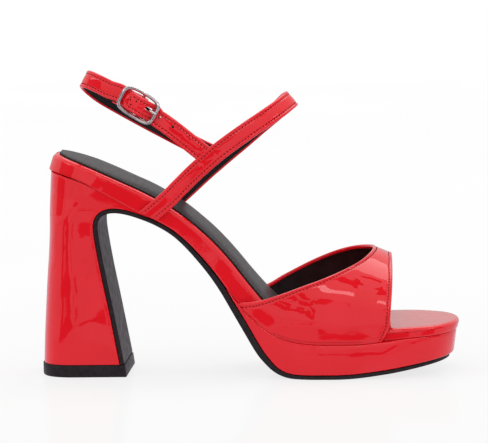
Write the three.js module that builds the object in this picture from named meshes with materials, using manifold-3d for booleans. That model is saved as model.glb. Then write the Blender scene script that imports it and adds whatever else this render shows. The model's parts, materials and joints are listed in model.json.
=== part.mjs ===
// A platform sandal for the right foot: patent straps, a flared block heel and a wrapped platform.
// Units are millimetres. +X points to the toe, +Y to the inner (big toe) side, +Z up, floor at Z = 0.

import * as THREE from 'three';
import Module from 'manifold-3d';
import { mergeVertices } from 'three/addons/utils/BufferGeometryUtils.js';

const wasm = await Module();
wasm.setup();

// Driving dimensions

const GAP = 0.3; // clearance between pieces that meet
const SEAM_GAP = 0.4; // clearance along curved seams
const TOE_X = 111; // front of the insole
const HEEL_X = -105.6; // back of the insole
const TOE_ROUND = 38; // length of the rounded toe
const HEEL_ROUND = 29; // length of the rounded heel seat
const TOE_SQUARENESS = 2.3;
const HEEL_SQUARENESS = 2.05;
const RIM_RADIUS = 2.4; // rolled upper edge of the insole
const TREAD_BEVEL = 0.5;
const MERGE_TOLERANCE = 0.02; // slivers smaller than this vanish where solids are joined
const TIP_SLIVER = 0.05; // outlines stop this far before their tips, where they would have no width
const END_BLEND = 14; // length over which insets turn from sideways to lengthways at both ends

const SOCK_INSET = 2.6; // sock lining edge from the insole edge
const SOCK_EDGE = 0.8; // thickness at its edge
const SOCK_CROWN = 1.9; // padded thickness along the middle
const SOCK_HEEL_CROWN = 1.0; // and at the back of the heel
const SOCK_BACK_ROW = 0.006; // shares of the insole's rows where the black sock starts and ends
const SOCK_FRONT_ROW = 0.72;

const VAMP_WALL = 1.8;
const VAMP_BULGE_HEIGHT = 8; // height of the widest line above the seam
const VAMP_CREST_SHIFT = 5; // the crest leans to the inner side

const PLATFORM_LIP = 2.3; // platform edge outside the insole, under the vamp
const OUTSOLE_TOE_INSET = 5.0; // the outsole ends this far behind the insole
const PLATFORM_SETBACK = 1.1; // the platform's upper edge ends this far behind the insole
const PLATFORM_LEAN = 4; // its upper edge stands this far before its lower edge
const PLATFORM_END_X = -9.4; // where it thins out to nothing under the waist
const PLATFORM_NOSE = 2.8; // the platform's lower edge overhangs the outsole at the toe
const PLATFORM_TOE_LIP = -0.6; // platform edge at the toe tip, just inside the insole

const LIFT_HEIGHT = 6.3;
const LIFT_LIP = 0.5; // top lift outside the heel block
const HEEL_BACK_ROUND = 20;
const HEEL_BACK_SQUARENESS = 2.7;

const STRAP_WIDTH = 9.6;
const STRAP_WALL = 1.8;
const STRAP_EDGE = 0.7; // width of a strap's rounded edge
const HOLE_RADIUS = 1.0;
const TAIL_HOLE_STEPS = 80; // the tail's length in steps, for placing its spare holes
const TAIL_HOLES = [4, 22];
const TAIL_HOLE_SHIFT = -1.1; // they lie a little above the strap's middle
const STRAP_TRIM_X = -49.9; // a point of the line that trims the instep strap's ends
const STRAP_TRIM_Z = 85.3;
const STRAP_TRIM_SLOPE = -0.474;

const BUCKLE_LENGTH = 22.4; // outside, along the strap
const BUCKLE_WIDTH = 15.4; // outside, across the strap
const WIRE_RADIUS = 0.9;
const BUCKLE_BOW = 1.9; // how far the end bars stand above the middle bar
const PRONG_RADIUS = 0.75;
const PRONG_SHIFT = -0.9; // the prong and its hole lie a little above the strap's middle

// Insole: each row pairs a point of its underside with the point of its top straight above the surface.
const INSOLE_ROWS = [
  { lowX: -105.2, lowZ: 108.6, topX: -102.4, topZ: 117.2 },
  { lowX: -96.8, lowZ: 106.9, topX: -93.4, topZ: 114.9 },
  { lowX: -87.4, lowZ: 103.9, topX: -83.0, topZ: 111.1 },
  { lowX: -78.5, lowZ: 99.6, topX: -73.8, topZ: 107.1 },
  { lowX: -68.5, lowZ: 94.1, topX: -63.4, topZ: 102.3 },
  { lowX: -57.6, lowZ: 87.9, topX: -52.5, topZ: 97.1 },
  { lowX: -47.9, lowZ: 83.4, topX: -43.0, topZ: 91.7 },
  { lowX: -39.6, lowZ: 78.7, topX: -34.5, topZ: 86.0 },
  { lowX: -33.8, lowZ: 74.2, topX: -27.5, topZ: 80.3 },
  { lowX: -27.6, lowZ: 68.2, topX: -21.0, topZ: 74.5 },
  { lowX: -21.2, lowZ: 61.0, topX: -14.2, topZ: 67.5 },
  { lowX: -15.5, lowZ: 53.8, topX: -7.8, topZ: 60.0 },
  { lowX: -10.2, lowZ: 46.4, topX: -2.2, topZ: 52.8 },
  { lowX: -4.5, lowZ: 39.2, topX: 3.6, topZ: 45.7 },
  { lowX: 1.5, lowZ: 32.8, topX: 9.2, topZ: 39.3 },
  { lowX: 8.5, lowZ: 26.8, topX: 15.0, topZ: 34.0 },
  { lowX: 16.5, lowZ: 22.1, topX: 21.5, topZ: 30.1 },
  { lowX: 26.0, lowZ: 19.4, topX: 29.5, topZ: 27.5 },
  { lowX: 40.0, lowZ: 18.4, topX: 41.0, topZ: 26.1 },
  { lowX: 56.0, lowZ: 18.4, topX: 56.0, topZ: 25.7 },
  { lowX: 73.0, lowZ: 19.7, topX: 73.3, topZ: 26.1 },
  { lowX: 86.0, lowZ: 21.0, topX: 86.2, topZ: 26.4 },
  { lowX: 98.0, lowZ: 21.6, topX: 98.4, topZ: 26.5 },
  { lowX: 110.0, lowZ: 22.2, topX: 111.0, topZ: 27.1 },
];

// Plan of the insole: how far its edge lies to the outer (-Y) and inner (+Y) side.
const PLAN_ROWS = [
  { x: -106, outer: 26.4, inner: 23.6 },
  { x: -80, outer: 26.4, inner: 23.8 },
  { x: -60, outer: 26.4, inner: 23.6 },
  { x: -40, outer: 25.8, inner: 22.0 },
  { x: -20, outer: 25.8, inner: 21.6 },
  { x: 0, outer: 29.0, inner: 25.6 },
  { x: 20, outer: 34.4, inner: 33.0 },
  { x: 38, outer: 38.3, inner: 37.2 },
  { x: 55, outer: 38.4, inner: 38.4 },
  { x: 72, outer: 36.4, inner: 38.0 },
  { x: 110, outer: 36.0, inner: 37.6 },
];

// Outsole: its upper face from the toe, back along the waist and down the front of the heel.
const OUTSOLE_ROWS = [
  { x: 105.3, z: 8.9, thick: 1.9 },
  { x: 97.0, z: 7.8, thick: 1.9 },
  { x: 86.0, z: 6.2, thick: 1.9 },
  { x: 70.0, z: 3.9, thick: 2.0 },
  { x: 58.0, z: 2.6, thick: 2.0 },
  { x: 48.0, z: 2.0, thick: 2.0 },
  { x: 38.0, z: 2.0, thick: 2.0 },
  { x: 28.0, z: 2.0, thick: 2.0 },
  { x: 21.5, z: 2.8, thick: 2.2 },
  { x: 16.0, z: 5.5, thick: 2.6 },
  { x: 11.4, z: 10.2, thick: 3.1 },
  { x: 7.0, z: 16.2, thick: 3.4 },
  { x: -0.3, z: 28.7, thick: 3.4 },
  { x: -5.8, z: 37.7, thick: 3.2 },
  { x: -10.9, z: 46.0, thick: 3.0 },
  { x: -16.1, z: 53.4, thick: 2.8 },
  { x: -21.8, z: 60.6, thick: 2.6 },
  { x: -28.1, z: 67.8, thick: 2.4 },
  { x: -34.2, z: 73.8, thick: 2.2 },
  { x: -39.9, z: 78.2, thick: 2.1 },
  { x: -48.1, z: 82.9, thick: 2.1 },
  { x: -57.5, z: 86.8, thick: 2.2 },
  { x: -65.0, z: 88.8, thick: 2.2 },
  { x: -71.5, z: 89.1, thick: 2.2 },
  { x: -76.6, z: 87.2, thick: 2.2 },
  { x: -79.4, z: 83.4, thick: 2.2 },
  { x: -80.0, z: 78.4, thick: 2.2 },
  { x: -79.0, z: 69.6, thick: 2.2 },
  { x: -76.3, z: 53.6, thick: 2.2 },
  { x: -73.5, z: 39.1, thick: 2.2 },
  { x: -70.5, z: 22.7, thick: 2.2 },
  { x: -67.6, z: LIFT_HEIGHT + GAP, thick: 2.2 },
];
const OUTSOLE_BREAST_ROW = 25; // from this row on the outsole is the heel's front flap
const OUTSOLE_SEAT_ROW = 21; // the outsole leaves the insole here and turns down the heel
const PLATFORM_END_ROW = 14; // the platform thins out to nothing here

// Heel block: its back line and half width at heights above the floor.
const HEEL_ROWS = [
  { backX: -110.0, backZ: 6.3, half: 23.4 },
  { backX: -109.4, backZ: 20.0, half: 23.2 },
  { backX: -108.4, backZ: 36.0, half: 23.1 },
  { backX: -107.2, backZ: 52.0, half: 23.3 },
  { backX: -106.0, backZ: 66.0, half: 23.8 },
  { backX: -105.3, backZ: 78.0, half: 24.4 },
  { backX: -105.1, backZ: 87.0, half: 24.8 },
  { backX: -104.8, backZ: 94.0, half: 25.0 },
  { backX: -104.5, backZ: 100.0, half: 25.0 },
  { backX: -104.2, backZ: 104.5, half: 25.0 },
  { backX: -103.9, backZ: 108.0, half: 25.0 },
];
// Levels of the heel: where each meets the outsole's front flap, and its height at the back.
const HEEL_LEVELS = [
  { front: 31, backZ: 6.6 },
  { front: 30, backZ: 16 },
  { front: 29, backZ: 28 },
  { front: 28, backZ: 42 },
  { front: 27, backZ: 57 },
  { front: 26.5, backZ: 65 },
  { front: 26, backZ: 72 },
  { front: 25.5, backZ: 78 },
  { front: 25, backZ: 83 },
  { front: 24.5, backZ: 87.5 },
  { front: 24, backZ: 91.5 },
  { front: 23.5, backZ: 95 },
  { front: 23, backZ: 98.3 },
  { front: 22.5, backZ: 101.4 },
  { front: 22, backZ: 104.2 },
  { front: 21.5, backZ: 107 },
];
const HEEL_CENTRE_Y = -1;

// Vamp: height of its top edge on each side, and of the crest that both sides rise to.
const THROAT_ROWS = [
  { x: -9.0, outer: 38.2, inner: 39.6 },
  { x: -4.5, outer: 39.2, inner: 40.4 },
  { x: 4.0, outer: 40.0, inner: 41.6 },
  { x: 8.5, outer: 41.0, inner: 43.0 },
  { x: 16.0, outer: 43.6, inner: 47.0 },
  { x: 24.0, outer: 46.6, inner: 51.0 },
  { x: 32.0, outer: 49.6, inner: 54.8 },
  { x: 40.0, outer: 52.5, inner: 58.2 },
  { x: 48.0, outer: 55.3, inner: 61.0 },
  { x: 56.0, outer: 58.4, inner: 63.0 },
  { x: 62.0, outer: 61.4, inner: 64.2 },
  { x: 66.5, outer: 64.6, inner: 65.2 },
  { x: 70.0, outer: 70.6, inner: 70.6 },
];
const CREST_ROWS = [
  { x: -10, z: 92.1 },
  { x: 10, z: 88.1 },
  { x: 30, z: 80.1 },
  { x: 50, z: 71.1 },
  { x: 66.5, z: 64.3 },
  { x: 80, z: 58.5 },
];
const FRONT_EDGE_ROWS = [
  { girth: 0.00, x: 71.2 },
  { girth: 0.06, x: 73.2 },
  { girth: 0.14, x: 75.0 },
  { girth: 0.30, x: 76.2 },
  { girth: 0.50, x: 75.0 },
  { girth: 0.70, x: 73.6 },
  { girth: 0.86, x: 72.6 },
  { girth: 1.00, x: 70.0 },
];

// Straps: centre line, and the direction that the face looks in.
const INSTEP_ROWS = [
  { x: -59.4, y: -27.55, z: 79.0, nx: 0, ny: -1, nz: -0.05 },
  { x: -42.3, y: -27.35, z: 92.7, nx: 0, ny: -1, nz: 0.0 },
  { x: -35.0, y: -28.3, z: 99.7, nx: 0, ny: -1, nz: 0.03 },
  { x: -27.4, y: -29.3, z: 107.1, nx: 0.02, ny: -1, nz: 0.06 },
  { x: -20.6, y: -29.8, z: 113.1, nx: 0.04, ny: -1, nz: 0.1 },
  { x: -12.0, y: -28.8, z: 120.1, nx: 0.08, ny: -1, nz: 0.16 },
  { x: 2.2, y: -24.8, z: 129.9, nx: 0.2, ny: -1, nz: 0.3 },
  { x: 11.2, y: -20.0, z: 135.6, nx: 0.36, ny: -0.9, nz: 0.42 },
  { x: 18.2, y: -13.2, z: 140.1, nx: 0.56, ny: -0.65, nz: 0.52 },
  { x: 22.4, y: -6.0, z: 143.1, nx: 0.72, ny: -0.3, nz: 0.6 },
  { x: 23.6, y: 1.0, z: 143.9, nx: 0.77, ny: 0, nz: 0.63 },
  { x: 21.3, y: 8.0, z: 142.4, nx: 0.72, ny: 0.34, nz: 0.6 },
  { x: 15.3, y: 15.2, z: 136.7, nx: 0.5, ny: 0.75, nz: 0.45 },
  { x: 6.1, y: 21.2, z: 129.0, nx: 0.26, ny: 0.95, nz: 0.26 },
  { x: -4.9, y: 25.4, z: 119.6, nx: 0.1, ny: 1, nz: 0.12 },
  { x: -15.1, y: 27.6, z: 111.2, nx: 0.04, ny: 1, nz: 0.06 },
  { x: -25.5, y: 27.3, z: 102.4, nx: 0, ny: 1, nz: 0.02 },
  { x: -36.7, y: 25.1, z: 92.4, nx: 0, ny: 1, nz: 0 },
  { x: -52.3, y: 23.95, z: 78.9, nx: 0, ny: 1, nz: 0 },
];
const SLING_ROWS = [
  { x: -17.3, y: 26.0, z: 111.4, nx: 0, ny: 1, nz: 0.03 },
  { x: -26, y: 26.2, z: 115.6, nx: 0, ny: 1, nz: 0.03 },
  { x: -37.6, y: 25.8, z: 121.7, nx: -0.04, ny: 1, nz: 0.05 },
  { x: -54, y: 22.6, z: 131.1, nx: -0.1, ny: 1, nz: 0.08 },
  { x: -67, y: 18, z: 139.1, nx: -0.22, ny: 1, nz: 0.12 },
  { x: -77.4, y: 12.4, z: 146.1, nx: -0.4, ny: 0.85, nz: 0.2 },
  { x: -83.2, y: 6.6, z: 151.7, nx: -0.66, ny: 0.55, nz: 0.33 },
  { x: -85.4, y: 0.4, z: 155.5, nx: -0.82, ny: 0, nz: 0.46 },
  { x: -83, y: -6.4, z: 156.1, nx: -0.62, ny: -0.6, nz: 0.33 },
  { x: -77.8, y: -11, z: 154.3, nx: -0.3, ny: -0.95, nz: 0.12 },
  { x: -71.2, y: -14.6, z: 151.4, nx: -0.16, ny: -1, nz: 0.05 },
];
const BUCKLE_CENTRE = new THREE.Vector3(-54.8, -21.0, 143.4);
const BUCKLE_FORWARD = new THREE.Vector3(0.84, -0.2, -0.5).normalize(); // along the strap, to its joint
const BUCKLE_OUT = new THREE.Vector3(-0.2, -0.97, 0.06); // away from the foot
const TAIL_ROWS = [
  { x: -45.6, y: -23.2, z: 136.8, nx: -0.18, ny: -1, nz: 0.03 },
  { x: -38.6, y: -25.5, z: 132.0, nx: -0.04, ny: -1, nz: 0.08 },
  { x: -29.6, y: -27.2, z: 125.0, nx: 0, ny: -1, nz: 0.06 },
  { x: -21.6, y: -28.4, z: 118.6, nx: 0, ny: -1, nz: 0.06 },
  { x: -15.5, y: -28.1, z: 113.9, nx: 0, ny: -1, nz: 0.06 },
];

// Materials

const redPatent = { color: 0xd8232f, roughness: 0.12, metalness: 0 };
const blackLining = { color: 0x2c282b, roughness: 0.5, metalness: 0 };
const blackRubber = { color: 0x1f1c1f, roughness: 0.6, metalness: 0 };
const chrome = { color: 0xcfcfd2, roughness: 0.15, metalness: 1 };

const sandal = new THREE.Group();

function addPiece(name, geometry, finish) {
  const mesh = new THREE.Mesh(geometry, new THREE.MeshStandardMaterial(finish));
  mesh.name = name;
  sandal.add(mesh);
}

// Curves and tables

// A smooth function through a table's rows that never overshoots them (monotone cubic).
function tableFunction(rows, keyX, keyY) {
  const x = rows.map((row) => row[keyX]);
  const y = rows.map((row) => row[keyY]);
  const last = x.length - 1;
  const slope = [];
  for (let i = 0; i < last; i += 1) slope.push((y[i + 1] - y[i]) / (x[i + 1] - x[i]));
  const tangent = [slope[0]];
  for (let i = 1; i < last; i += 1) {
    const product = slope[i - 1] * slope[i];
    tangent.push(product <= 0 ? 0 : (2 * product) / (slope[i - 1] + slope[i]));
  }
  tangent.push(slope[last - 1]);
  return (at) => {
    if (at <= x[0]) return y[0];
    if (at >= x[last]) return y[last];
    let i = 0;
    while (at > x[i + 1]) i += 1;
    const h = x[i + 1] - x[i];
    const t = (at - x[i]) / h;
    const t2 = t * t;
    const t3 = t2 * t;
    return (
      (2 * t3 - 3 * t2 + 1) * y[i] +
      (t3 - 2 * t2 + t) * h * tangent[i] +
      (3 * t2 - 2 * t3) * y[i + 1] +
      (t3 - t2) * h * tangent[i + 1]
    );
  };
}

// A smooth path through rows of any columns. row(i) takes a row number, whole or between two rows.
function rowPath(rows, keys) {
  const last = rows.length - 1;
  const value = (key, i) => {
    if (i < 0) return 2 * rows[0][key] - rows[1][key];
    if (i > last) return 2 * rows[last][key] - rows[last - 1][key];
    return rows[i][key];
  };
  const row = (position) => {
    const i = Math.min(last - 1, Math.max(0, Math.floor(position)));
    const t = position - i;
    const made = {};
    for (const key of keys) {
      const [p0, p1, p2, p3] = [i - 1, i, i + 1, i + 2].map((k) => value(key, k));
      made[key] =
        p1 +
        0.5 * t * (p2 - p0 + t * (2 * p0 - 5 * p1 + 4 * p2 - p3 + t * (3 * (p1 - p2) + p3 - p0)));
    }
    return made;
  };
  return { row, last };
}

// Shares from 0 to 1 with extra steps in the first and last stretch, where outlines are round.
function roundedShares(steps, startShare, endShare, endSteps) {
  const shares = [];
  for (let i = 0; i < endSteps; i += 1) {
    shares.push(startShare * (1 - Math.cos((i / endSteps) * (Math.PI / 2))));
  }
  for (let i = 0; i <= steps; i += 1) {
    shares.push(startShare + ((1 - startShare - endShare) * i) / steps);
  }
  for (let i = 1; i <= endSteps; i += 1) {
    shares.push(1 - endShare + endShare * Math.sin((i / endSteps) * (Math.PI / 2)));
  }
  return shares;
}

const planOuter = tableFunction(PLAN_ROWS, 'x', 'outer');
const planInner = tableFunction(PLAN_ROWS, 'x', 'inner');

// How much of its full width an outline has at x, where its toe and heel ends are rounded.
function endRounding(x, heelX, toeX) {
  const toe = Math.max(0, (x - (toeX - TOE_ROUND)) / TOE_ROUND);
  const heel = Math.max(0, (heelX + HEEL_ROUND - x) / HEEL_ROUND);
  const toeShare = (1 - Math.min(1, toe) ** TOE_SQUARENESS) ** (1 / TOE_SQUARENESS);
  const heelShare = (1 - Math.min(1, heel) ** HEEL_SQUARENESS) ** (1 / HEEL_SQUARENESS);
  return toeShare * heelShare;
}

// How much of an inset goes lengthways near an end of the shoe: all at the tip, none along the sides.
function endRamp(x, tipX, inward) {
  return 1 - THREE.MathUtils.smoothstep((x - tipX) * inward, 0, END_BLEND);
}

// Solids

function toGeometry(positions, index) {
  const geometry = new THREE.BufferGeometry();
  geometry.setAttribute('position', new THREE.Float32BufferAttribute(positions, 3));
  geometry.setIndex(index);
  return geometry;
}

// A closed wall between two grids of points: outer[i][j] faces out, inner[i][j] is its other face.
function wallSolid(outer, inner) {
  const rows = outer.length;
  const columns = outer[0].length;
  const positions = [];
  for (const grid of [outer, inner]) {
    for (const row of grid) for (const p of row) positions.push(p.x, p.y, p.z);
  }
  const at = (side, i, j) => side * rows * columns + i * columns + j;
  const index = [];
  const quad = (a, b, c, d) => index.push(a, b, c, a, c, d);
  for (let i = 0; i < rows - 1; i += 1) {
    for (let j = 0; j < columns - 1; j += 1) {
      quad(at(0, i, j), at(0, i + 1, j), at(0, i + 1, j + 1), at(0, i, j + 1));
      quad(at(1, i, j), at(1, i, j + 1), at(1, i + 1, j + 1), at(1, i + 1, j));
    }
    const last = columns - 1;
    quad(at(0, i, 0), at(1, i, 0), at(1, i + 1, 0), at(0, i + 1, 0));
    quad(at(0, i, last), at(0, i + 1, last), at(1, i + 1, last), at(1, i, last));
  }
  for (let j = 0; j < columns - 1; j += 1) {
    const last = rows - 1;
    quad(at(0, 0, j), at(0, 0, j + 1), at(1, 0, j + 1), at(1, 0, j));
    quad(at(0, last, j), at(1, last, j), at(1, last, j + 1), at(0, last, j + 1));
  }
  return facingOut(toGeometry(positions, index));
}

// Turns a closed geometry's faces round if they point inwards.
function facingOut(geometry) {
  const p = geometry.attributes.position;
  const index = Array.from(geometry.index.array);
  const corners = [0, 1, 2].map(() => new THREE.Vector3());
  let volume = 0;
  for (let i = 0; i < index.length; i += 3) {
    corners.forEach((corner, k) => corner.fromBufferAttribute(p, index[i + k]));
    volume += corners[0].dot(corners[1].clone().cross(corners[2]));
  }
  if (volume < 0) {
    for (let i = 0; i < index.length; i += 3) {
      [index[i + 1], index[i + 2]] = [index[i + 2], index[i + 1]];
    }
    geometry.setIndex(index);
  }
  return geometry;
}

function toManifold(geometry) {
  const bare = geometry.clone();
  for (const name of Object.keys(bare.attributes)) {
    if (name !== 'position') bare.deleteAttribute(name);
  }
  const merged = mergeVertices(bare, 1e-4);
  return new wasm.Manifold(
    new wasm.Mesh({
      numProp: 3,
      vertProperties: new Float32Array(merged.attributes.position.array),
      triVerts: new Uint32Array(merged.index.array),
    }),
  );
}

function fromManifold(solid) {
  const mesh = solid.simplify(MERGE_TOLERANCE).getMesh();
  return toGeometry(Array.from(mesh.vertProperties), Array.from(mesh.triVerts));
}

// Sole parts

const insolePath = rowPath(INSOLE_ROWS, ['lowX', 'lowZ', 'topX', 'topZ']);

// One station of the insole: its underside and top points, the direction between them, and its edges.
function insoleStation(share) {
  const r = insolePath.row(share * insolePath.last);
  const low = new THREE.Vector3(r.lowX, 0, r.lowZ);
  const top = new THREE.Vector3(r.topX, 0, r.topZ);
  const rise = top.clone().sub(low);
  const thick = rise.length();
  const up = rise.divideScalar(thick);
  const planX = THREE.MathUtils.lerp(
    Math.max(r.lowX, HEEL_X + TIP_SLIVER),
    r.topX,
    THREE.MathUtils.smoothstep(r.lowX, 60, 109),
  );
  const width = endRounding(Math.min(planX, TOE_X - TIP_SLIVER), HEEL_X, TOE_X);
  return { low, top, up, thick, planX, outer: planOuter(planX) * width, inner: planInner(planX) * width };
}

// A row of points across the shoe at one station. Each entry gives a share of the half width
// (-1 outer edge, 1 inner edge), an inset from that edge and a height along the station's up.
function acrossRow(station, base, entries) {
  return entries.map(({ share, inset = 0, height = 0 }) => {
    const half = share < 0 ? station.outer : station.inner;
    const reach = half * Math.abs(share);
    const kept = Math.max(reach - inset * Math.min(1, half / END_BLEND), reach * 0.3);
    const point = base.clone().addScaledVector(station.up, height);
    point.x += inset * (endRamp(point.x, HEEL_X, 1) - endRamp(point.x, TOE_X, -1));
    point.y = Math.sign(share) * kept;
    return point;
  });
}

function makeInsole() {
  const top = [];
  const low = [];
  for (const share of roundedShares(32, 0.05, 0.12, 7)) {
    const s = insoleStation(share);
    const r = RIM_RADIUS;
    top.push(
      acrossRow(s, s.top, [
        { share: -1, height: -s.thick * 0.55 },
        { share: -1, inset: r * 0.22, height: -r * 0.62 },
        { share: -1, inset: r * 0.55, height: -r * 0.2 },
        { share: -1, inset: r, height: 0 },
        { share: 1, inset: r, height: 0 },
        { share: 1, inset: r * 0.55, height: -r * 0.2 },
        { share: 1, inset: r * 0.22, height: -r * 0.62 },
        { share: 1, height: -s.thick * 0.55 },
      ]),
    );
    low.push(
      acrossRow(s, s.low, [
        { share: -1, height: 1.6 },
        { share: -1, inset: 0.1, height: 1 },
        { share: -1, inset: 0.35, height: 0.4 },
        { share: -1, inset: 0.8 },
        { share: 1, inset: 0.8 },
        { share: 1, inset: 0.35, height: 0.4 },
        { share: 1, inset: 0.1, height: 1 },
        { share: 1, height: 1.6 },
      ]),
    );
  }
  addPiece('insole', wallSolid(top, low), redPatent);
}

function makeSock() {
  const top = [];
  const low = [];
  for (const share of roundedShares(26, 0.05, 0.02, 5)) {
    const s = insoleStation(THREE.MathUtils.lerp(SOCK_BACK_ROW, SOCK_FRONT_ROW, share));
    const seat = 1 - THREE.MathUtils.smoothstep(s.planX, -96, -45);
    const crown = THREE.MathUtils.lerp(SOCK_CROWN, SOCK_HEEL_CROWN, seat);
    const padding = Math.max(SOCK_EDGE, crown * Math.min(1, Math.min(s.outer, s.inner) / 18));
    top.push(
      acrossRow(s, s.top, [
        { share: -1, inset: SOCK_INSET, height: GAP + SOCK_EDGE },
        { share: -0.8, inset: SOCK_INSET, height: GAP + SOCK_EDGE + 0.6 * (padding - SOCK_EDGE) },
        { share: -0.45, inset: SOCK_INSET, height: GAP + padding },
        { share: 0.45, inset: SOCK_INSET, height: GAP + padding },
        { share: 0.8, inset: SOCK_INSET, height: GAP + SOCK_EDGE + 0.6 * (padding - SOCK_EDGE) },
        { share: 1, inset: SOCK_INSET, height: GAP + SOCK_EDGE },
      ]),
    );
    low.push(
      acrossRow(s, s.top, [
        { share: -1, inset: SOCK_INSET, height: GAP },
        { share: -0.8, inset: SOCK_INSET, height: GAP },
        { share: -0.45, inset: SOCK_INSET, height: GAP },
        { share: 0.45, inset: SOCK_INSET, height: GAP },
        { share: 0.8, inset: SOCK_INSET, height: GAP },
        { share: 1, inset: SOCK_INSET, height: GAP },
      ]),
    );
  }
  addPiece('sock_lining', wallSolid(top, low), blackLining);
}

const outsolePath = rowPath(OUTSOLE_ROWS, ['x', 'z', 'thick']);

// One station of the outsole: its upper face point, the direction out of the foot, and its edges.
function outsoleStation(position) {
  const r = outsolePath.row(position);
  const step = 0.02;
  const a = outsolePath.row(Math.max(0, position - step));
  const b = outsolePath.row(Math.min(outsolePath.last, position + step));
  const tangent = new THREE.Vector3(b.x - a.x, 0, b.z - a.z).normalize();
  const up = new THREE.Vector3(tangent.z, 0, -tangent.x); // into the shoe
  const breast = THREE.MathUtils.smoothstep(position, OUTSOLE_SEAT_ROW, OUTSOLE_BREAST_ROW);
  const toeX = TOE_X - OUTSOLE_TOE_INSET;
  const width = endRounding(Math.min(r.x, toeX - TIP_SLIVER), HEEL_X - HEEL_ROUND, toeX);
  const lip = platformLip(r.x) - 0.9;
  const seat = heelHalf(r.z);
  return {
    top: new THREE.Vector3(r.x, 0, r.z),
    up,
    thick: r.thick,
    outer: THREE.MathUtils.lerp((planOuter(r.x) + lip) * width, seat - HEEL_CENTRE_Y, breast),
    inner: THREE.MathUtils.lerp((planInner(r.x) + lip) * width, seat + HEEL_CENTRE_Y, breast),
  };
}

// How far the platform's edge stands outside the insole at x.
function platformLip(x) {
  const underVamp = THREE.MathUtils.smoothstep(x, -22, 2);
  const toToe = THREE.MathUtils.smoothstep(x, 74, 104);
  return THREE.MathUtils.lerp(PLATFORM_LIP * underVamp, PLATFORM_TOE_LIP, toToe);
}

function makeOutsole() {
  const top = [];
  const low = [];
  const positions = [0, 0.04, 0.12, 0.25, 0.45, 0.7];
  for (let p = 1; p <= outsolePath.last; p += p > 6 && p < 27 ? 0.5 : 1) positions.push(p);
  for (const position of positions) {
    const s = outsoleStation(position);
    top.push(
      acrossRow(s, s.top, [
        { share: -1, height: -0.3 },
        { share: -1, inset: 0.3 },
        { share: 1, inset: 0.3 },
        { share: 1, height: -0.3 },
      ]),
    );
    low.push(
      acrossRow(s, s.top, [
        { share: -1, height: TREAD_BEVEL - s.thick },
        { share: -1, inset: TREAD_BEVEL, height: -s.thick },
        { share: 1, inset: TREAD_BEVEL, height: -s.thick },
        { share: 1, height: TREAD_BEVEL - s.thick },
      ]),
    );
  }
  addPiece('outsole', wallSolid(top, low), blackRubber);
}

const insoleLowZ = tableFunction(INSOLE_ROWS, 'lowX', 'lowZ');

function makePlatform() {
  const top = [];
  const low = [];
  const toeX = TOE_X - PLATFORM_SETBACK;
  const shares = roundedShares(36, 0.1, 0.0001, 6);
  for (const share of shares) {
    const position = share * PLATFORM_END_ROW;
    const s = outsoleStation(Math.max(position, 0));
    const floor = s.top.clone().addScaledVector(s.up, GAP);
    const nose = PLATFORM_NOSE * THREE.MathUtils.smoothstep(s.top.x, 80, 105);
    floor.addScaledVector(new THREE.Vector3(s.up.z, 0, -s.up.x), nose);
    // The upper face runs from the toe back to where the insole meets the outsole.
    const topX = THREE.MathUtils.lerp(toeX, PLATFORM_END_X, platformTopShare(share));
    const roof = new THREE.Vector3(topX, 0, insoleLowZ(topX) - SEAM_GAP);
    const width = endRounding(Math.min(topX, toeX - TIP_SLIVER), HEEL_X - HEEL_ROUND, toeX);
    const lip = platformLip(topX);
    const upper = {
      up: new THREE.Vector3(0, 0, 1),
      outer: (planOuter(topX) + lip) * width,
      inner: (planInner(topX) + lip) * width,
    };
    const lower = { up: s.up, outer: s.outer + 0.7, inner: s.inner + 0.7 };
    const depth = roof.distanceTo(floor);
    const edge = Math.min(1, depth * 0.3);
    top.push(
      acrossRow(upper, roof, [
        { share: -1, height: -edge },
        { share: -1, inset: 0.7 },
        { share: 1, inset: 0.7 },
        { share: 1, height: -edge },
      ]),
    );
    low.push(
      acrossRow(lower, floor, [
        { share: -1, inset: 0.1, height: edge },
        { share: -1, inset: 1 },
        { share: 1, inset: 1 },
        { share: 1, inset: 0.1, height: edge },
      ]),
    );
  }
  addPiece('platform', wallSolid(top, low), redPatent);
}

// Share of the platform's upper face for a share of its lower face, so that its slices stand upright.
function platformTopShare(share) {
  const position = share * PLATFORM_END_ROW;
  const s = outsoleStation(position);
  const toeX = TOE_X - PLATFORM_SETBACK;
  const upright = (toeX - (s.top.x + PLATFORM_LEAN)) / (toeX - PLATFORM_END_X);
  return THREE.MathUtils.clamp(upright, 0, 1);
}

// Heel

const heelHalf = tableFunction(HEEL_ROWS, 'backZ', 'half');
const heelBack = tableFunction(HEEL_ROWS, 'backZ', 'backX');

// Front point of the heel at each level: the outsole's upper face, a gap away.
function breastPoint(position) {
  const s = outsoleStation(position);
  return s.top.clone().addScaledVector(s.up, GAP);
}

// A level of the heel: a D in plan, square in front and rounded behind.
function heelRing(back, front, half, count) {
  const length = front.x - back.x;
  const round = Math.min(HEEL_BACK_ROUND, length * 0.62);
  const ring = [];
  for (let i = 0; i < count; i += 1) {
    const angle = ((i / (count - 1)) * 2 - 1) * (Math.PI / 2);
    const across = Math.sign(angle) * Math.abs(Math.sin(angle)) ** (2 / HEEL_BACK_SQUARENESS);
    const along = 1 - Math.cos(angle) ** (2 / HEEL_BACK_SQUARENESS);
    const share = (along * round) / length;
    ring.push(
      new THREE.Vector3(
        back.x + along * round,
        HEEL_CENTRE_Y + across * half,
        THREE.MathUtils.lerp(back.z, front.z, share),
      ),
    );
  }
  return [
    new THREE.Vector3(front.x, HEEL_CENTRE_Y - half, front.z),
    ...ring,
    new THREE.Vector3(front.x, HEEL_CENTRE_Y + half, front.z),
  ];
}

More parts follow.
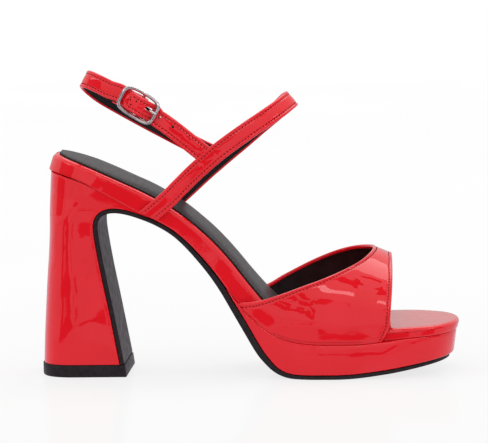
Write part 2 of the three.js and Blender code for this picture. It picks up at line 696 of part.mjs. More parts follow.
function makeHeel() {
  const rings = HEEL_LEVELS.map(({ front, backZ }) => {
    const nose = breastPoint(front);
    return heelRing(new THREE.Vector3(heelBack(backZ), 0, backZ), nose, heelHalf(backZ), 15);
  });
  for (const p of rings[0]) p.z = LIFT_HEIGHT + GAP;
  for (const p of rings[rings.length - 1]) p.z = insoleLowZ(p.x) - SEAM_GAP;
  addPiece('heel', ringSolid(rings), redPatent);
}

// A closed solid from rings of points, capped by a fan at each end.
function ringSolid(rings) {
  const count = rings[0].length;
  const positions = rings.flatMap((ring) => ring.flatMap((p) => [p.x, p.y, p.z]));
  const index = [];
  for (let i = 0; i < rings.length - 1; i += 1) {
    for (let j = 0; j < count; j += 1) {
      const a = i * count + j;
      const b = i * count + ((j + 1) % count);
      index.push(a, b, b + count, a, b + count, a + count);
    }
  }
  for (const [ring, turned] of [[0, true], [rings.length - 1, false]]) {
    const centre = positions.length / 3;
    const middle = new THREE.Vector3();
    for (const p of rings[ring]) middle.addScaledVector(p, 1 / count);
    positions.push(middle.x, middle.y, middle.z);
    for (let j = 0; j < count; j += 1) {
      const a = ring * count + j;
      const b = ring * count + ((j + 1) % count);
      index.push(...(turned ? [centre, b, a] : [centre, a, b]));
    }
  }
  return facingOut(toGeometry(positions, index));
}

function makeTopLift() {
  const s = breastPoint(31);
  const rings = [0, 0.6, LIFT_HEIGHT].map((z) => {
    const grow = LIFT_LIP - (z === 0 ? 0.4 : 0);
    const back = new THREE.Vector3(HEEL_ROWS[0].backX - grow, 0, z);
    const front = new THREE.Vector3(s.x + 2.3 + grow + (1 - z / LIFT_HEIGHT) * 0.9, 0, z);
    return heelRing(back, front, HEEL_ROWS[0].half + grow, 15);
  });
  addPiece('top_lift', ringSolid(rings), blackRubber);
}

// Vamp

const throatOuter = tableFunction(THROAT_ROWS, 'x', 'outer');
const throatInner = tableFunction(THROAT_ROWS, 'x', 'inner');
const crest = tableFunction(CREST_ROWS, 'x', 'z');
const frontEdge = tableFunction(FRONT_EDGE_ROWS, 'girth', 'x');
const TUCK_GIRTH = 0.14; // share of the girth, on each side, that is below the widest line

// Inner face of the vamp over the last. girth runs from 0, outer seam, over the crest to 1, inner seam.
function lastPoint(x, girth) {
  const outerSide = girth < 0.5;
  const seam = insoleLowZ(x) + SEAM_GAP;
  const wide = seam + VAMP_BULGE_HEIGHT;
  const half = (outerSide ? planOuter(x) : planInner(x)) + SEAM_GAP + 0.1;
  const side = outerSide ? -1 : 1;
  const fromSeam = outerSide ? girth : 1 - girth;
  if (fromSeam < TUCK_GIRTH) {
    const t = fromSeam / TUCK_GIRTH;
    return new THREE.Vector3(x, side * half, THREE.MathUtils.lerp(seam, wide, t));
  }
  const angle = ((fromSeam - TUCK_GIRTH) / (0.5 - TUCK_GIRTH)) * (Math.PI / 2);
  const centre = VAMP_CREST_SHIFT * Math.sin(angle) ** 2;
  const y = side * half * Math.cos(angle) + centre;
  const z = wide + (crest(x) - VAMP_WALL - wide) * Math.sin(angle);
  return new THREE.Vector3(x, y, z);
}

// Where the vamp's back edge crosses a line of constant girth.
function throatX(girth) {
  const topEdge = girth < 0.5 ? throatOuter : throatInner;
  let low = -9;
  let high = 68.5;
  for (let i = 0; i < 40; i += 1) {
    const middle = (low + high) / 2;
    const above = lastPoint(middle, girth).z + VAMP_WALL * 0.5 > topEdge(middle);
    if (above) low = middle;
    else high = middle;
  }
  return (low + high) / 2;
}

function makeVamp() {
  const along = 10;
  const around = 40;
  const outer = [];
  const inner = [];
  for (let i = 0; i <= along; i += 1) {
    const outerRow = [];
    const innerRow = [];
    for (let j = 0; j <= around; j += 1) {
      const girth = j / around;
      const x = THREE.MathUtils.lerp(throatX(girth), frontEdge(girth), i / along);
      const p = lastPoint(x, girth);
      const e = 0.004;
      const g0 = Math.max(0, girth - e);
      const g1 = Math.min(1, girth + e);
      const du = lastPoint(x, g1).sub(lastPoint(x, g0));
      const dx = lastPoint(x + 0.5, girth).sub(lastPoint(x - 0.5, girth));
      const normal = du.cross(dx).normalize().negate();
      if (normal.y * (p.y - 5) + normal.z * 20 < 0) normal.negate();
      innerRow.push(p);
      outerRow.push(p.clone().addScaledVector(normal, VAMP_WALL));
    }
    outer.push(outerRow);
    inner.push(innerRow);
  }
  addPiece('vamp', wallSolid(outer, inner), redPatent);
}

// Straps

const STRAP_KEYS = ['x', 'y', 'z', 'nx', 'ny', 'nz'];

// Frames along a strap: centre, direction of travel, face direction and width direction.
function strapFrames(rows, steps) {
  const path = rowPath(rows, STRAP_KEYS);
  const frames = [];
  for (let i = 0; i <= steps; i += 1) {
    const position = (i / steps) * path.last;
    const r = path.row(position);
    const a = path.row(Math.max(0, position - 0.02));
    const b = path.row(Math.min(path.last, position + 0.02));
    const forward = new THREE.Vector3(b.x - a.x, b.y - a.y, b.z - a.z).normalize();
    const out = new THREE.Vector3(r.nx, r.ny, r.nz);
    out.addScaledVector(forward, -out.dot(forward)).normalize();
    const across = new THREE.Vector3().crossVectors(forward, out);
    frames.push({ centre: new THREE.Vector3(r.x, r.y, r.z), forward, out, across });
  }
  return frames;
}

// A strap from its frames. halfAt gives its half width at each frame, for a rounded tip.
function ribbonSolid(frames, halfAt = () => STRAP_WIDTH / 2) {
  const outer = [];
  const inner = [];
  frames.forEach((f, i) => {
    const half = halfAt(i, frames.length);
    const flat = Math.max(half - STRAP_EDGE, half * 0.5);
    const columns = [[-half, 0.22], [-flat, 0.5], [flat, 0.5], [half, 0.22]];
    const point = (w, n) => f.centre.clone().addScaledVector(f.across, w).addScaledVector(f.out, n);
    outer.push(columns.map(([w, n]) => point(w, n * STRAP_WALL)));
    inner.push(columns.map(([w, n]) => point(w, -n * STRAP_WALL)));
  });
  return wallSolid(outer, inner);
}

// The buckle's own axes: s along the strap towards its joint, n out of the foot, w across.
const buckleOut = BUCKLE_OUT.clone()
  .addScaledVector(BUCKLE_FORWARD, -BUCKLE_OUT.dot(BUCKLE_FORWARD))
  .normalize();
const buckleAcross = new THREE.Vector3().crossVectors(BUCKLE_FORWARD, buckleOut);

function atBuckle(s, n, w = 0) {
  return BUCKLE_CENTRE.clone()
    .addScaledVector(BUCKLE_FORWARD, s)
    .addScaledVector(buckleOut, n)
    .addScaledVector(buckleAcross, w);
}

// The fold round the middle bar, in the buckle's s and n: in over the bar, round it and back below.
function foldFrames() {
  const radius = WIRE_RADIUS + GAP + STRAP_WALL / 2;
  const frames = [];
  const add = (s, n, ds, dn, w = 0) => {
    const forward = BUCKLE_FORWARD.clone().multiplyScalar(ds).addScaledVector(buckleOut, dn).normalize();
    const out = BUCKLE_FORWARD.clone().multiplyScalar(-dn).addScaledVector(buckleOut, ds).normalize();
    frames.push({
      centre: atBuckle(s, n, w),
      forward,
      out,
      across: new THREE.Vector3().crossVectors(forward, out),
    });
  };
  add(-12, -0.9, 1, 0.15);
  add(-9.5, -0.45, 1, 0.15);
  add(-6.5, 0.15, 1, 0.22);
  add(-3.6, 1.05, 1, 0.28);
  for (let i = 0; i <= 6; i += 1) {
    const angle = Math.PI / 2 - (i / 6) * Math.PI;
    add(radius * Math.cos(angle), radius * Math.sin(angle), Math.sin(angle), -Math.cos(angle));
  }
  add(-3.5, -2.1, -1, 0, 0.1);
  add(-6.5, -1.5, -1, 0, 0.5);
  add(-9.5, -2.05, -1, 0.1, 1.0);
  add(-12, -2.5, -1, 0.15, 1.7);
  add(-15, -3.6, -1, 0.25, 2.2);
  return frames;
}

// The tail over the middle bar, from its rounded tip to where it leaves the buckle.
function tailFrames() {
  const heights = tableFunction(
    [
      { s: -8.0, n: 2.2 },
      { s: -4, n: 3.3 },
      { s: 0, n: 3.8 },
      { s: 2.5, n: 3.5 },
      { s: 5, n: 2.3 },
      { s: 7, n: 1.0 },
      { s: 9, n: 0.15 },
      { s: 12, n: 0.0 },
    ],
    's',
    'n',
  );
  const frames = [];
  for (const s of [-7.6, -7.2, -6.4, -5.2, -3.6, -1.8, 0, 1.6, 3.0, 4.4, 5.8, 7.2, 9]) {
    const dn = (heights(s + 0.1) - heights(s - 0.1)) / 0.2;
    const forward = BUCKLE_FORWARD.clone().addScaledVector(buckleOut, dn).normalize();
    const out = buckleOut.clone().addScaledVector(BUCKLE_FORWARD, -dn).normalize();
    frames.push({
      centre: atBuckle(s, heights(s)),
      forward,
      out,
      across: new THREE.Vector3().crossVectors(forward, out),
    });
  }
  return frames;
}

// Everything below the line along which both ends of the instep strap are trimmed to the sole's edge.
function soleEdgeCutter() {
  const shape = new THREE.Shape();
  const line = (x) => STRAP_TRIM_Z + (x - STRAP_TRIM_X) * STRAP_TRIM_SLOPE;
  const [left, right, below] = [-90, -10, 40];
  shape.moveTo(left, line(left));
  shape.lineTo(left, below);
  shape.lineTo(right, below);
  shape.lineTo(right, line(right));
  const geometry = new THREE.ExtrudeGeometry(shape, { depth: 100, bevelEnabled: false });
  geometry.translate(0, 0, -50);
  geometry.rotateX(Math.PI / 2);
  return toManifold(geometry);
}

// A round cutter through a strap face at a point.
function holeCutter(centre, out, radius, length, along, depth = 8) {
  const shape = new THREE.Shape();
  const half = length / 2;
  if (length === 0) {
    shape.absarc(0, 0, radius, 0, 2 * Math.PI, false);
  } else {
    shape.absarc(half, 0, radius, -Math.PI / 2, Math.PI / 2, false);
    shape.absarc(-half, 0, radius, Math.PI / 2, (3 * Math.PI) / 2, false);
  }
  const geometry = new THREE.ExtrudeGeometry(shape, { depth, bevelEnabled: false, curveSegments: 5 });
  geometry.translate(0, 0, -depth / 2);
  const across = new THREE.Vector3().crossVectors(out, along);
  geometry.applyMatrix4(new THREE.Matrix4().makeBasis(along, across, out).setPosition(centre));
  return toManifold(geometry);
}

function makeStraps() {
  const band = toManifold(ribbonSolid(strapFrames(INSTEP_ROWS, 42)));
  const instep = band.subtract(soleEdgeCutter());
  const slingFrames = strapFrames(SLING_ROWS, 28);
  const slot = holeCutter(atBuckle(0.9, 0, PRONG_SHIFT), buckleOut, 1.5, 3.6, BUCKLE_FORWARD, 5);
  const sling = toManifold(ribbonSolid([...slingFrames, ...foldFrames()])).subtract(slot);
  const tip = tailFrames();
  const rounded = [0.35, 0.62, 0.86, 0.98];
  const halfAt = (i) => (STRAP_WIDTH / 2) * (i < rounded.length ? rounded[i] : 1);
  const tailBand = strapFrames(TAIL_ROWS, 10);
  const tail = toManifold(ribbonSolid([...tip, ...tailBand], halfAt));
  let straps = instep.add(sling).add(tail);
  const prongHole = tip[10];
  prongHole.centre.addScaledVector(buckleAcross, PRONG_SHIFT);
  straps = straps.subtract(
    holeCutter(prongHole.centre, prongHole.out, HOLE_RADIUS + 0.25, 2.4, prongHole.forward),
  );
  const spare = strapFrames(TAIL_ROWS, TAIL_HOLE_STEPS);
  for (const i of TAIL_HOLES) {
    const f = spare[i];
    const centre = f.centre.clone().addScaledVector(f.across, TAIL_HOLE_SHIFT);
    straps = straps.subtract(holeCutter(centre, f.out, HOLE_RADIUS, 0, f.forward));
  }
  addPiece('ankle_straps', fromManifold(straps), redPatent);
}

// Buckle

// Outline of the frame: a rectangle with round corners whose ends bulge, bowed over the strap.
function frameOutline(count) {
  const a = BUCKLE_LENGTH / 2 - WIRE_RADIUS;
  const b = BUCKLE_WIDTH / 2 - WIRE_RADIUS;
  const points = [];
  for (let i = 0; i < count; i += 1) {
    const angle = (i / count) * 2 * Math.PI;
    const c = Math.cos(angle);
    const s = Math.sin(angle);
    const along = Math.sign(c) * Math.abs(c) ** 0.62 * a;
    const across = Math.sign(s) * Math.abs(s) ** 0.44 * b;
    points.push(atBuckle(along, 0.4 + BUCKLE_BOW * (along / a) ** 2, across));
  }
  return points;
}

function closedTube(points, radius, sides) {
  const positions = [];
  const index = [];
  const count = points.length;
  points.forEach((p, i) => {
    const forward = points[(i + 1) % count].clone().sub(points[(i - 1 + count) % count]).normalize();
    const out = buckleOut.clone().addScaledVector(forward, -buckleOut.dot(forward)).normalize();
    const across = new THREE.Vector3().crossVectors(forward, out);
    for (let j = 0; j < sides; j += 1) {
      const angle = ((j + 0.5) / sides) * 2 * Math.PI;
      const q = p.clone().addScaledVector(out, radius * Math.cos(angle));
      q.addScaledVector(across, radius * Math.sin(angle));
      positions.push(q.x, q.y, q.z);
    }
  });
  for (let i = 0; i < count; i += 1) {
    for (let j = 0; j < sides; j += 1) {
      const k = (j + 1) % sides;
      const n = (i + 1) % count;
      index.push(i * sides + j, n * sides + j, n * sides + k, i * sides + j, n * sides + k, i * sides + k);
    }
  }
  return facingOut(toGeometry(positions, index));
}

// A rod through points, with a radius at each.
function rodSolid(points, radii, sides) {
  const rings = points.map((p, i) => {
    const next = points[Math.min(i + 1, points.length - 1)];
    const previous = points[Math.max(i - 1, 0)];
    const forward = next.clone().sub(previous).normalize();
    const side = Math.abs(forward.dot(buckleAcross)) > 0.9 ? buckleOut : buckleAcross;
    const across = side.clone().addScaledVector(forward, -side.dot(forward)).normalize();
    const out = new THREE.Vector3().crossVectors(across, forward);
    const ring = [];
    for (let j = 0; j < sides; j += 1) {
      const angle = ((j + 0.5) / sides) * 2 * Math.PI;
      const q = p.clone().addScaledVector(out, radii[i] * Math.cos(angle));
      ring.push(q.addScaledVector(across, radii[i] * Math.sin(angle)));
    }
    return ring;
  });
  return ringSolid(rings);
}

function makeBuckle() {
  const rim = toManifold(closedTube(frameOutline(32), WIRE_RADIUS, 8));
  const reach = BUCKLE_WIDTH / 2 - WIRE_RADIUS;
  const bar = [-1, -0.8, 0.8, 1].map((w) => atBuckle(0, w * w === 1 ? 0.3 : 0, w * reach));
  const middle = toManifold(rodSolid(bar, bar.map(() => WIRE_RADIUS), 8));
  addPiece('buckle_frame', fromManifold(rim.add(middle)), chrome);
}

function makeProng() {
  const inside = WIRE_RADIUS + GAP;
  const ring = new THREE.Shape();
  ring.absarc(0, 0, inside + 0.7, 0, 2 * Math.PI, false);
  const hole = new THREE.Path();
  hole.absarc(0, 0, inside, 0, 2 * Math.PI, true);
  ring.holes.push(hole);
  const sleeve = new THREE.ExtrudeGeometry(ring, { depth: 1.8, bevelEnabled: false, curveSegments: 8 });
  sleeve.translate(0, 0, -0.9);
  const atMiddle = atBuckle(0, 0, PRONG_SHIFT);
  const axes = new THREE.Matrix4().makeBasis(BUCKLE_FORWARD, buckleOut, buckleAcross);
  sleeve.applyMatrix4(axes.setPosition(atMiddle));
  const rodPoints = [
    [1.55, 0.12],
    [2.3, 0.45],
    [3.4, 0.9],
    [5.0, 1.5],
    [6.4, 2.5],
    [8.2, 3.7],
    [9.6, 4.2],
    [BUCKLE_LENGTH / 2 + 0.1, 4.3],
  ].map(([s, n]) => atBuckle(s, n, PRONG_SHIFT));
  const rod = rodSolid(rodPoints, [0.28, 0.6, 0.7, PRONG_RADIUS, PRONG_RADIUS, PRONG_RADIUS, PRONG_RADIUS, 0.55], 8);
  addPiece('buckle_prong', fromManifold(toManifold(sleeve).add(toManifold(rod))), chrome);
}

makeOutsole();
makePlatform();
makeInsole();
makeSock();
makeHeel();
makeTopLift();
makeVamp();
makeStraps();
makeBuckle();
makeProng();

export default sandal;
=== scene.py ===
"""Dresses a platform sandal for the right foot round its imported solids.

Tables and sizes are in millimetres, as a pattern cutter writes them, and meshes are made in metres.
+X points to the toe, +Y to the inner side of the foot, +Z up, and the floor is at Z = 0.
"""

import json
import logging
import math
from dataclasses import dataclass, field
from enum import Enum
from typing import Callable

import bmesh
import bpy
import numpy as np
from mathutils import Matrix, Vector

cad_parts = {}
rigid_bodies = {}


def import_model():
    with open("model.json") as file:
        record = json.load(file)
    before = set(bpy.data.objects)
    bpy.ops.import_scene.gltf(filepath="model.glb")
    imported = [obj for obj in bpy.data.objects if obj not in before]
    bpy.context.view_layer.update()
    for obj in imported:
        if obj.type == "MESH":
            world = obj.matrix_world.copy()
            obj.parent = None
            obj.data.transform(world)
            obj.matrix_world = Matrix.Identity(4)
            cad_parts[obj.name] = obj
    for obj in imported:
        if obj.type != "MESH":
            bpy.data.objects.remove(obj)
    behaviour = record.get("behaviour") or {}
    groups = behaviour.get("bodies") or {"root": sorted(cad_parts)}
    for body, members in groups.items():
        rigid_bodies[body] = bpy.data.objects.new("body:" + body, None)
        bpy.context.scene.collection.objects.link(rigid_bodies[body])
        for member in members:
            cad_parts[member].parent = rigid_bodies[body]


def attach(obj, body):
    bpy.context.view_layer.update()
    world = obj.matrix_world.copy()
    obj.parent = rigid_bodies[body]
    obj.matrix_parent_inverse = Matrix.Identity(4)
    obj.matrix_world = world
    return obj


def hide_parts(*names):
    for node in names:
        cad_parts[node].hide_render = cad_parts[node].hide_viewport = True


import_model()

Array = np.ndarray
Reader = Callable[[Array], Array]
Socket = bpy.types.NodeSocket
Material = bpy.types.Material
Object = bpy.types.Object

MM = 0.001
GAP = 0.3  # between two pieces, as in the solids
SEAM = 0.08  # between two pieces where their seam shows
CREASE = math.radians(38)  # sharper edges are drawn as creases
WELD = 2e-6  # corners closer than this, in metres, become one
SLIVER = 1e-6  # edges shorter than this, in metres, are taken out
HALVINGS = 40  # steps of a search by halves
WIRE_SIDES = 20  # points round a wire
LOG = logging.getLogger("sandal")


class Side(Enum):
    """The two sides of the shoe, as the sign of Y."""

    OUTER = -1
    INNER = 1


class Skin(Enum):
    """The material slot that each face of a wall takes."""

    FACE = 0
    BACK = 1


# Numbers and curves


def smoothstep(x: Array, start: float, end: float) -> Array:
    """A smooth ramp from 0 at start to 1 at end.

    Args:
        x: Where the ramp is read.
        start: The place where it leaves 0.
        end: The place where it reaches 1.

    Returns:
        The ramp's values.
    """
    t = np.clip((np.asarray(x, float) - start) / (end - start), 0.0, 1.0)
    return t * t * (3 - 2 * t)


def lerp(a: Array, b: Array, t: Array) -> Array:
    """The value at share t of the way from a to b."""
    return a + (b - a) * t


def unit(v: Array) -> Array:
    """The vectors along the last axis, at length 1."""
    return v / np.maximum(np.linalg.norm(v, axis=-1, keepdims=True), 1e-12)


def bump(x: Array, centre: float, width: float) -> Array:
    """A soft bell of height 1 at centre."""
    return np.exp(-(((np.asarray(x, float) - centre) / width) ** 2))


def ripple(points: Array, length: float, seed: float) -> Array:
    """Slow, uneven waves over a surface, from -1 to 1.

    Args:
        points: Points of the surface, in millimetres.
        length: About how far apart the crests lie.
        seed: Turns and shifts the waves.

    Returns:
        The height of the waves at each point.
    """
    k = 2 * math.pi / length
    x, y, z = points[..., 0], points[..., 1], points[..., 2]
    total = np.sin(k * (0.9 * x + 0.3 * z + 0.2 * y) + seed)
    total = total + np.sin(k * (-0.5 * x + 0.8 * z + 0.4 * y) * 1.3 + 2.1 * seed)
    total = total + np.sin(k * (0.2 * x - 0.6 * z + 0.9 * y) * 0.8 + 3.7 * seed)
    return total / 3


@dataclass(frozen=True)
class Table:
    """Rows of numbers with named columns.

    Attributes:
        columns: The columns' names, parted by spaces.
        rows: The rows.
    """

    columns: str
    rows: tuple[tuple[float, ...], ...]

    def column(self, name: str) -> Array:
        """One column as an array."""
        return np.array([row[self.columns.split().index(name)] for row in self.rows], float)

    def function(self, key: str, value: str) -> Reader:
        """A smooth function through two columns that never overshoots them.

        Args:
            key: The column that the function is read at.
            value: The column that it gives.

        Returns:
            The function.
        """
        x, y = self.column(key), self.column(value)
        slope = np.diff(y) / np.diff(x)
        product = slope[:-1] * slope[1:]
        total = slope[:-1] + slope[1:]
        safe = np.where(total == 0, 1.0, total)
        inside = np.where(product <= 0, 0.0, 2 * product / safe)
        tangent = np.concatenate([[slope[0]], inside, [slope[-1]]])

        def read(at: Array) -> Array:
            """The function's values at the given places."""
            at = np.clip(np.asarray(at, float), x[0], x[-1])
            i = np.clip(np.searchsorted(x, at, side="left") - 1, 0, len(x) - 2)
            h = x[i + 1] - x[i]
            t = (at - x[i]) / h
            t2, t3 = t * t, t * t * t
            return (
                (2 * t3 - 3 * t2 + 1) * y[i]
                + (t3 - 2 * t2 + t) * h * tangent[i]
                + (3 * t2 - 2 * t3) * y[i + 1]
                + (t3 - t2) * h * tangent[i + 1]
            )

        return read

    def path(self, names: str) -> Reader:
        """A smooth path through the rows.

        Args:
            names: The columns of the path, parted by spaces.

        Returns:
            A function from a row number, whole or between two rows, to those columns.
        """
        values = np.stack([self.column(name) for name in names.split()], axis=-1)
        first, last = 2 * values[0] - values[1], 2 * values[-1] - values[-2]
        held = np.concatenate([[first], values, [last]])
        count = len(values) - 1

        def read(position: Array) -> Array:
            """The path's points at the given row numbers."""
            position = np.asarray(position, float)
            i = np.clip(np.floor(position).astype(int), 0, count - 1)
            t = (position - i)[..., None]
            p0, p1, p2, p3 = held[i], held[i + 1], held[i + 2], held[i + 3]
            bend = 2 * p0 - 5 * p1 + 4 * p2 - p3 + t * (3 * (p1 - p2) + p3 - p0)
            return p1 + 0.5 * t * (p2 - p0 + t * bend)

        return read

    @property
    def last(self) -> int:
        """The last row's number."""
        return len(self.rows) - 1


def resampled(values: Array, count: int) -> Array:
    """Even steps along a path through given points.

    Args:
        values: The points, of any number of columns whose first three are a place.
        count: How many points come back.

    Returns:
        Points on a smooth path through the given ones.
    """
    steps = np.linalg.norm(np.diff(values[:, :3], axis=0), axis=1)
    at = np.concatenate([[0], np.cumsum(np.maximum(steps, 1e-6))])
    slope = np.gradient(values, at, axis=0)
    where = np.linspace(0, at[-1], count)
    i = np.clip(np.searchsorted(at, where, side="right") - 1, 0, len(at) - 2)
    h = (at[i + 1] - at[i])[:, None]
    t = ((where - at[i]) / (at[i + 1] - at[i]))[:, None]
    t2, t3 = t * t, t * t * t
    made = (2 * t3 - 3 * t2 + 1) * values[i] + (t3 - 2 * t2 + t) * h * slope[i]
    return made + (3 * t2 - 2 * t3) * values[i + 1] + (t3 - t2) * h * slope[i + 1]


def rounded_shares(steps: int, start: float, end: float, end_steps: int) -> Array:
    """Shares from 0 to 1 with extra steps where an outline is round.

    Args:
        steps: Even steps between the two rounded stretches.
        start: The first rounded stretch, as a share.
        end: The last rounded stretch, as a share.
        end_steps: Steps in each rounded stretch.

    Returns:
        The shares, rising.
    """
    turn = np.arange(end_steps) / end_steps * (math.pi / 2)
    head = start * (1 - np.cos(turn))
    body = np.linspace(start, 1 - end, steps + 1)
    tail = 1 - end + end * np.sin(turn + math.pi / 2 / end_steps)
    return np.concatenate([head, body, tail])


# Meshes


def placed(name: str, data: bpy.types.ID) -> Object:
    """A new object at the origin that shows the given mesh, curve, lamp or camera."""
    made = bpy.data.objects.new(name, data)
    bpy.context.scene.collection.objects.link(made)
    return made


def sheet(name: str, width: float, height: float, look: Material) -> Object:
    """A flat rectangle round the origin.

    Args:
        name: The object's name.
        width: Its size along X, in metres.
        height: Its size along Y, in metres.
        look: Its material.

    Returns:
        The new object.
    """
    mesh = bpy.data.meshes.new(name)
    w, h = width / 2, height / 2
    mesh.from_pydata([(-w, -h, 0), (w, -h, 0), (w, h, 0), (-w, h, 0)], [], [(0, 1, 2, 3)])
    mesh.materials.append(look)
    return placed(name, mesh)


def closed_mesh(name: str, points: Array, faces: list, slots: Array, looks: list[Material]) -> Object:
    """A finished mesh object at the origin, closed and facing out.

    Args:
        name: The object's name.
        points: Corners in millimetres.
        faces: Corner numbers of each face.
        slots: The material slot of each face.
        looks: The materials, in slot order.

    Returns:
        The new object, linked to the scene.
    """
    mesh = bpy.data.meshes.new(name)
    mesh.from_pydata((points * MM).tolist(), [], faces)
    mesh.polygons.foreach_set("material_index", np.asarray(slots, np.int32))
    for look in looks:
        mesh.materials.append(look)
    work = bmesh.new()
    work.from_mesh(mesh)
    bmesh.ops.remove_doubles(work, verts=work.verts, dist=WELD)
    bmesh.ops.dissolve_degenerate(work, edges=work.edges, dist=SLIVER)
    bmesh.ops.recalc_face_normals(work, faces=work.faces)
    work.to_mesh(mesh)
    work.free()
    mesh.polygons.foreach_set("use_smooth", [True] * len(mesh.polygons))
    mesh.set_sharp_from_angle(angle=CREASE)
    mesh.update()
    return placed(name, mesh)


def wall(
    name: str, face: Array, back: Array, looks: list[Material], turned: int = 0, inlay: int = 0
) -> Object:
    """A closed wall between two grids of points.

    Args:
        name: The object's name.
        face: The outer grid, rows by columns by 3.
        back: The inner grid, of the same shape.
        looks: The materials of the outer and inner faces.
        turned: How many columns the first material is turned over each side edge.
        inlay: Where not 0, the column in from each side edge where the second starts on the face.

    Returns:
        The new object.
    """
    rows, columns = face.shape[:2]
    points = np.concatenate([face.reshape(-1, 3), back.reshape(-1, 3)])
    f = np.arange(rows * columns).reshape(rows, columns)
    b = f + rows * columns
    quads = [
        np.stack(corners, axis=-1).reshape(-1, 4)
        for corners in (
            (b[:-1, :-1], b[:-1, 1:], b[1:, 1:], b[1:, :-1]),
            (f[:-1, :-1], f[:-1, 1:], f[1:, 1:], f[1:, :-1]),
            (f[:-1, 0], b[:-1, 0], b[1:, 0], f[1:, 0]),
            (f[:-1, -1], f[1:, -1], b[1:, -1], b[:-1, -1]),
            (f[0, :-1], f[0, 1:], b[0, 1:], b[0, :-1]),
            (f[-1, :-1], b[-1, :-1], b[-1, 1:], f[-1, 1:]),
        )
    ]
    slots = np.full(sum(len(q) for q in quads), Skin.FACE.value)
    if len(looks) > 1:
        lined = np.full((rows - 1, columns - 1), Skin.BACK.value)
        lined[:, :turned] = Skin.FACE.value
        lined[:, columns - 1 - turned :] = Skin.FACE.value
        slots[: lined.size] = lined.ravel()
        if inlay:
            lined[:] = Skin.FACE.value
            lined[:, inlay : columns - 1 - inlay] = Skin.BACK.value
            slots[lined.size : 2 * lined.size] = lined.ravel()
    return closed_mesh(name, points, np.concatenate(quads).tolist(), slots, looks)


def stack(name: str, rings: Array, looks: list[Material], joined: bool = False) -> Object:
    """A solid through rings of points.

    Args:
        name: The object's name.
        rings: Rings by points by 3.
        looks: The materials.
        joined: True where the last ring meets the first, as in a closed wire.

    Returns:
        The new object.
    """
    count, sides = rings.shape[:2]
    f = np.arange(count * sides).reshape(count, sides)
    nxt = np.roll(f, -1, axis=1)
    above = np.roll(f, -1, axis=0)
    above_nxt = np.roll(nxt, -1, axis=0)
    quads = np.stack([f, nxt, above_nxt, above], axis=-1)
    faces = (quads if joined else quads[:-1]).reshape(-1, 4).tolist()
    if not joined:
        faces += [f[0][::-1].tolist(), f[-1].tolist()]
    return closed_mesh(name, rings.reshape(-1, 3), faces, np.zeros(len(faces)), looks)


def tube(
    name: str,
    points: Array,
    radii: Array,
    side: Array,
    looks: list[Material],
    joined: bool = False,
    flat: float = 1.0,
) -> Object:
    """A wire along points, round or a little flattened.

    Args:
        name: The object's name.
        points: The centre line, in millimetres.
        radii: The wire's radius at each point.
        side: A direction that the rings are turned to.
        looks: The materials.
        joined: True where the wire closes on itself.
        flat: How thick the wire is in the given direction, as a share of its width.

    Returns:
        The new object.
    """
    if joined:
        forward = unit(np.roll(points, -1, axis=0) - np.roll(points, 1, axis=0))
    else:
        forward = unit(np.gradient(points, axis=0))
    out = unit(side - forward * (forward @ side)[:, None])
    across = np.cross(forward, out)
    angle = np.linspace(0, 2 * math.pi, WIRE_SIDES, endpoint=False)
    ring = out[:, None] * flat * np.cos(angle)[:, None] + across[:, None] * np.sin(angle)[:, None]
    return stack(name, points[:, None] + ring * radii[:, None, None], looks, joined)


def combine(piece: Object, others: list[Object], kind: str) -> None:
    """Cuts other pieces out of a piece, or joins them to it, and removes them.

    Args:
        piece: The piece that stays.
        others: The cutters, or the pieces to be joined.
        kind: DIFFERENCE or UNION.
    """
    for other in others:
        step = piece.modifiers.new(kind.lower(), "BOOLEAN")
        step.operation = kind
        step.solver = "EXACT"
        step.object = other
    apply_modifiers(piece)
    for other in others:
        bpy.data.objects.remove(other)


def apply_modifiers(piece: Object) -> None:
    """Puts the result of a piece's modifiers into its mesh and removes them."""
    graph = bpy.context.evaluated_depsgraph_get()
    made = bpy.data.meshes.new_from_object(piece.evaluated_get(graph), depsgraph=graph)
    old = piece.data
    piece.modifiers.clear()
    piece.data = made
    made.name = piece.name
    if old.users == 0:
        bpy.data.meshes.remove(old)


# Finishes


def add_node(tree: bpy.types.NodeTree, kind: str, **inputs: object) -> bpy.types.Node:
    """A new node with its inputs given, as values or as other nodes' outputs.

    Args:
        tree: The tree that it is added to.
        kind: The node's type.
        **inputs: Value or output for each input, with _ for each space in its name.

    Returns:
        The node.
    """
    made = tree.nodes.new(kind)
    for name, value in inputs.items():
        socket = made.inputs[name.replace("_", " ")]
        if isinstance(value, Socket):
            tree.links.new(value, socket)
        else:
            socket.default_value = value
    return made


